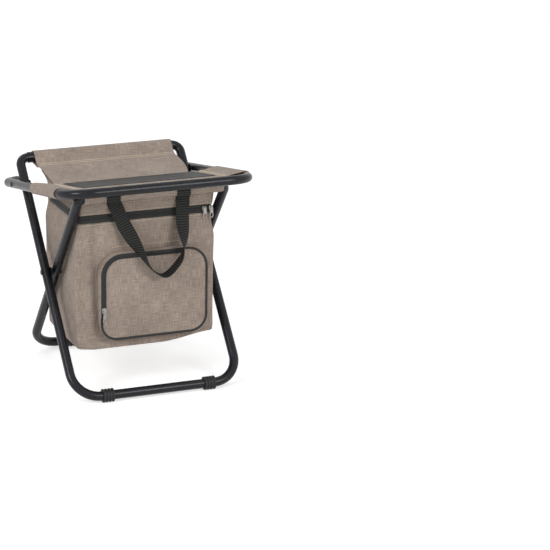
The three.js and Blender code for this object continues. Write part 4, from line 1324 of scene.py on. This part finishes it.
def zip_slider(name, node, slider_body, pull_name, pull_node, pull_body):
    """A slider in two shells with a bridge, and its pull, fitted to the CAD solids' boxes."""
    low, high = corners(node)
    middle, half = (low + high) / 2, (high - low) / 2
    rows = []
    for depth_share, narrow in SLIDER_SECTIONS:
        ring = stadium(half[0], half[2], -half[2], SLIDER_ROUND) * narrow
        ring[:, 0] *= 1 - SLIDER_TAPER * smooth(-ring[:, 1], 0, half[2])
        rows.append(upright(ring + middle[[0, 2]], middle[1] + half[1] * depth_share))
    slider = surface(name, np.stack(rows), (False, True))
    place(slider, worn_nickel, slider_body, "slider", node)
    low, high = corners(pull_node)
    middle, half = (low + high) / 2, (high - low) / 2
    outer = stadium(half[0], half[2], -half[2])
    outer[:, 0] *= 1 - PULL_TAPER * smooth(outer[:, 1], 0, half[2])
    inner = stadium(half[0] * WINDOW_SHARE, -half[2] + WINDOW_TOP, -half[2] + WINDOW_LOW)
    outer[:, 1] += middle[2]
    inner[:, 1] += middle[2]
    pull = plate(pull_name, outer, inner, middle[0], low[1], high[1])
    place(pull, worn_nickel, pull_body, "slider", pull_node)
    return slider, pull


for word, slider_body in (("left", "main_slider"), ("right", "bag")):
    for piece in zip_slider(f"{word}_slider", f"main_slider_{word}", slider_body,
                            f"{word}_pull_tab", f"main_pull_{word}", f"main_pull_on_{word}"):
        flatten(piece)
zip_slider("side_slider", "pocket_slider", "pocket_zip_slider",
           "side_pull_tab", "pocket_pull", "pocket_zip_pull")


# Carry handle: one loop of black ribbed webbing, whose two ends start under the front rail. It
# hangs in a loop that turns edge on at the bottom, with a rib every 4.6 mm across its width.
RIB = 0.0046
RIB_DEPTH = 0.00022
WEB_WIDTH = 0.025
WEB_THICKNESS = 0.002
HANDLE_SPAN = 0.128
HANDLE_DROP = 0.137
HANDLE_LEAN = 0.023
HANDLE_WAY_SHARES = [
    (-0.5, 0), (-0.375, -0.27), (-0.25, -0.52), (-0.16, -0.68), (-0.075, -0.825), (0.03, -0.935),
    (0.15, -1), (0.25, -0.965), (0.34, -0.88), (0.43, -0.76), (0.475, -0.62), (0.49, -0.4), (0.5, 0),
]
TWIST_START_SHARE = 0.28
TWIST_FULL_SHARE = 0.88
HANDLE_TOP = FRONT_SEAM + [0, -0.0027, -0.005]


def painted_rib_shade(tree):
    """Painted shade and highlight of the ribs: a sine wave along the webbing's length, once a rib, wavering a
    little.
    """
    where = add(tree, "ShaderNodeUVMap", {"uv_map": "weave"})
    return add(tree, "ShaderNodeTexWave", {"bands_direction": "Y"}, Vector=where.outputs[0],
               Scale=math.pi / (10 * RIB), Distortion=0.4).outputs["Fac"]


# The webbing's colour runs from near black to dark grey once a rib: painted shade and highlight across the ribs.
webbing = shaded(
    "black ribbed polypropylene webbing",
    lambda t: ramp(t, painted_rib_shade(t), "#0f100f", "#393937", 0.1, 1.0),
    0.72,
    {"Specular IOR Level": 0.2},
    lambda t: yarns(t, 1), 0.0003, 0.6,
)


def eased_curve(points, count):
    """A Catmull-Rom curve through points: between each pair a cubic whose slope at a point is half the
    step between its neighbours, then spaced evenly by length."""
    points = np.asarray(points, float)
    ends = np.concatenate([[2 * points[0] - points[1]], points, [2 * points[-1] - points[-2]]])
    t = np.linspace(0, 1, 40, endpoint=False)[None, :, None]
    a, b, c, d = (ends[k:len(ends) - 3 + k, None] for k in range(4))
    dense = 0.5 * (2 * b + (c - a) * t + (2 * a - 5 * b + 4 * c - d) * t ** 2
                   + (3 * b - a - 3 * c + d) * t ** 3)
    dense = np.concatenate([dense.reshape(-1, 3), points[-1:]])
    run = run_length(dense)
    return at_run(np.linspace(0, run[-1], count), run, dense)


def webbing_strip(name, path, across, path_ahead):
    """The webbing's section carried along a path: a flat rectangle with rounded edges, whose faces
    swell by a sine of the distance run, once a rib. A second path gives its direction."""
    run = run_length(path)
    rib = RIB_DEPTH * (np.cos(run / RIB * 2 * math.pi)[:, None] - 1)
    half_w, half_t = WEB_WIDTH / 2, WEB_THICKNESS / 2
    flat = np.linspace(-1, 1, 9) * (half_w - half_t)
    turn = np.linspace(-math.pi / 2, math.pi / 2, 7)[1:-1]
    u = np.concatenate([flat, half_w - half_t + half_t * np.cos(turn), flat[::-1],
                        -(half_w - half_t) - half_t * np.cos(turn)])
    v = np.concatenate([np.full(9, -1.0), np.sin(turn), np.full(9, 1.0), -np.sin(turn)])
    height = v * (half_t + rib)
    through = unit(np.cross(unit(np.gradient(path_ahead, axis=0)), across))
    strip = path[:, None] + u[None, :, None] * across[:, None] + height[..., None] * through[:, None]
    return surface(name, capped(strip), (False, True))


handle_places = np.array([(x * HANDLE_SPAN, 0, z * HANDLE_DROP) for x, z in HANDLE_WAY_SHARES])
handle_path = eased_curve(handle_places + HANDLE_TOP, 900)
handle_along = unit(np.gradient(handle_path, axis=0))
drop_share = (HANDLE_TOP[2] - handle_path[:, 2]) / HANDLE_DROP
twist = smooth(drop_share, TWIST_START_SHARE, TWIST_FULL_SHARE)[:, None] * math.pi / 2
sideways = unit(np.cross(handle_along, [0, 1.0, 0]))
web_across = sideways * np.cos(twist) - np.array([0, 1.0, 0]) * np.sin(twist)
upright_path = handle_path
handle_path = handle_path - np.array([0, HANDLE_LEAN, 0]) * np.sin(twist)
handle = webbing_strip("webbing_handle", handle_path, web_across, upright_path)
place(handle, webbing, "handle", "webbing", "carry_handle")


# Strap ends: flat webbing sewn up the front sleeve's face, with two rows of stitches. A tab under the handle's top
# lies along the flap.
STRAP_END_RISE = 0.052
STRAP_SLANT = 0.32
STRAP_TURN = 0.005
STRAP_ROWS = (0.004, 0.0104)
STRAP_SEAM_HALF = 0.0105
TAB_SHARE = 0.55
strap_lift = (CLOTH + WEB_THICKNESS) / 2 + 0.0002
sleeve_face = front_part[::-1]
face_run = run_length(sleeve_face)
face_along = unit(np.gradient(sleeve_face, axis=0))
face_out = np.stack([-face_along[:, 1], face_along[:, 0]], axis=-1)
sewn = (face_run > STRAP_TURN) & (face_run < STRAP_TURN + STRAP_END_RISE)
strap_top = (sleeve_face + strap_lift * face_out)[sewn][::-1]
strap_yz = np.concatenate([strap_top, [HANDLE_TOP[1:], HANDLE_TOP[1:] - [0, 0.003]]])
row_lift = face_out[sewn][::-1]
tab_yz = at_run(np.linspace(0, TAB_SHARE, 14), flap_share, flap_curve)
tab_yz = tab_yz + flap_outward[1:] * strap_lift
for word, sign in (("left", -1), ("right", 1)):
    behind = np.minimum(strap_yz[:, 0], HANDLE_TOP[1])
    strap_x = sign * HANDLE_SPAN / 2 - STRAP_SLANT * (HANDLE_TOP[1] - behind)
    strap_points = np.concatenate([strap_x[:, None], strap_yz], axis=1)
    strap_path = eased_curve(strap_points, 90)
    strap_across = np.broadcast_to(X, strap_path.shape)
    strap = webbing_strip(f"strap_end_{word}", strap_path, strap_across, strap_path)
    place(strap, webbing, "inner_legs", "webbing")
    branch = handle_path[:200] if sign < 0 else handle_path[:-200:-1]
    tab_x = np.interp(-tab_yz[:, 1], -branch[:, 2], branch[:, 0])
    tab_path = eased_curve(np.concatenate([tab_x[:, None], tab_yz], axis=1), 30)
    tab_along = unit(np.gradient(tab_path, axis=0))
    tab_across = unit(np.cross(tab_along, np.broadcast_to(flap_outward, tab_path.shape)))
    tab = webbing_strip(f"strap_tab_{word}", tab_path, tab_across, tab_path)
    place(tab, webbing, None, "webbing")
    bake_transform(tab)
    top_run = run_length(strap_top)
    for k, distance in enumerate(STRAP_ROWS):
        seam_y, seam_z = at_run(distance, top_run, strap_top + row_lift * 0.0011)
        seam_out = [0.0, *at_run(distance, top_run, row_lift)]
        seam_x = np.linspace(-STRAP_SEAM_HALF, STRAP_SEAM_HALF, 12)
        seam_x = seam_x + np.interp(distance, top_run, strap_x[:len(top_run)])
        row_points = np.stack(np.broadcast_arrays(seam_x, seam_y, seam_z), axis=-1)
        stitches(f"strap_seam_{word}_{k}", row_points, seam_out, "inner_legs", "webbing")
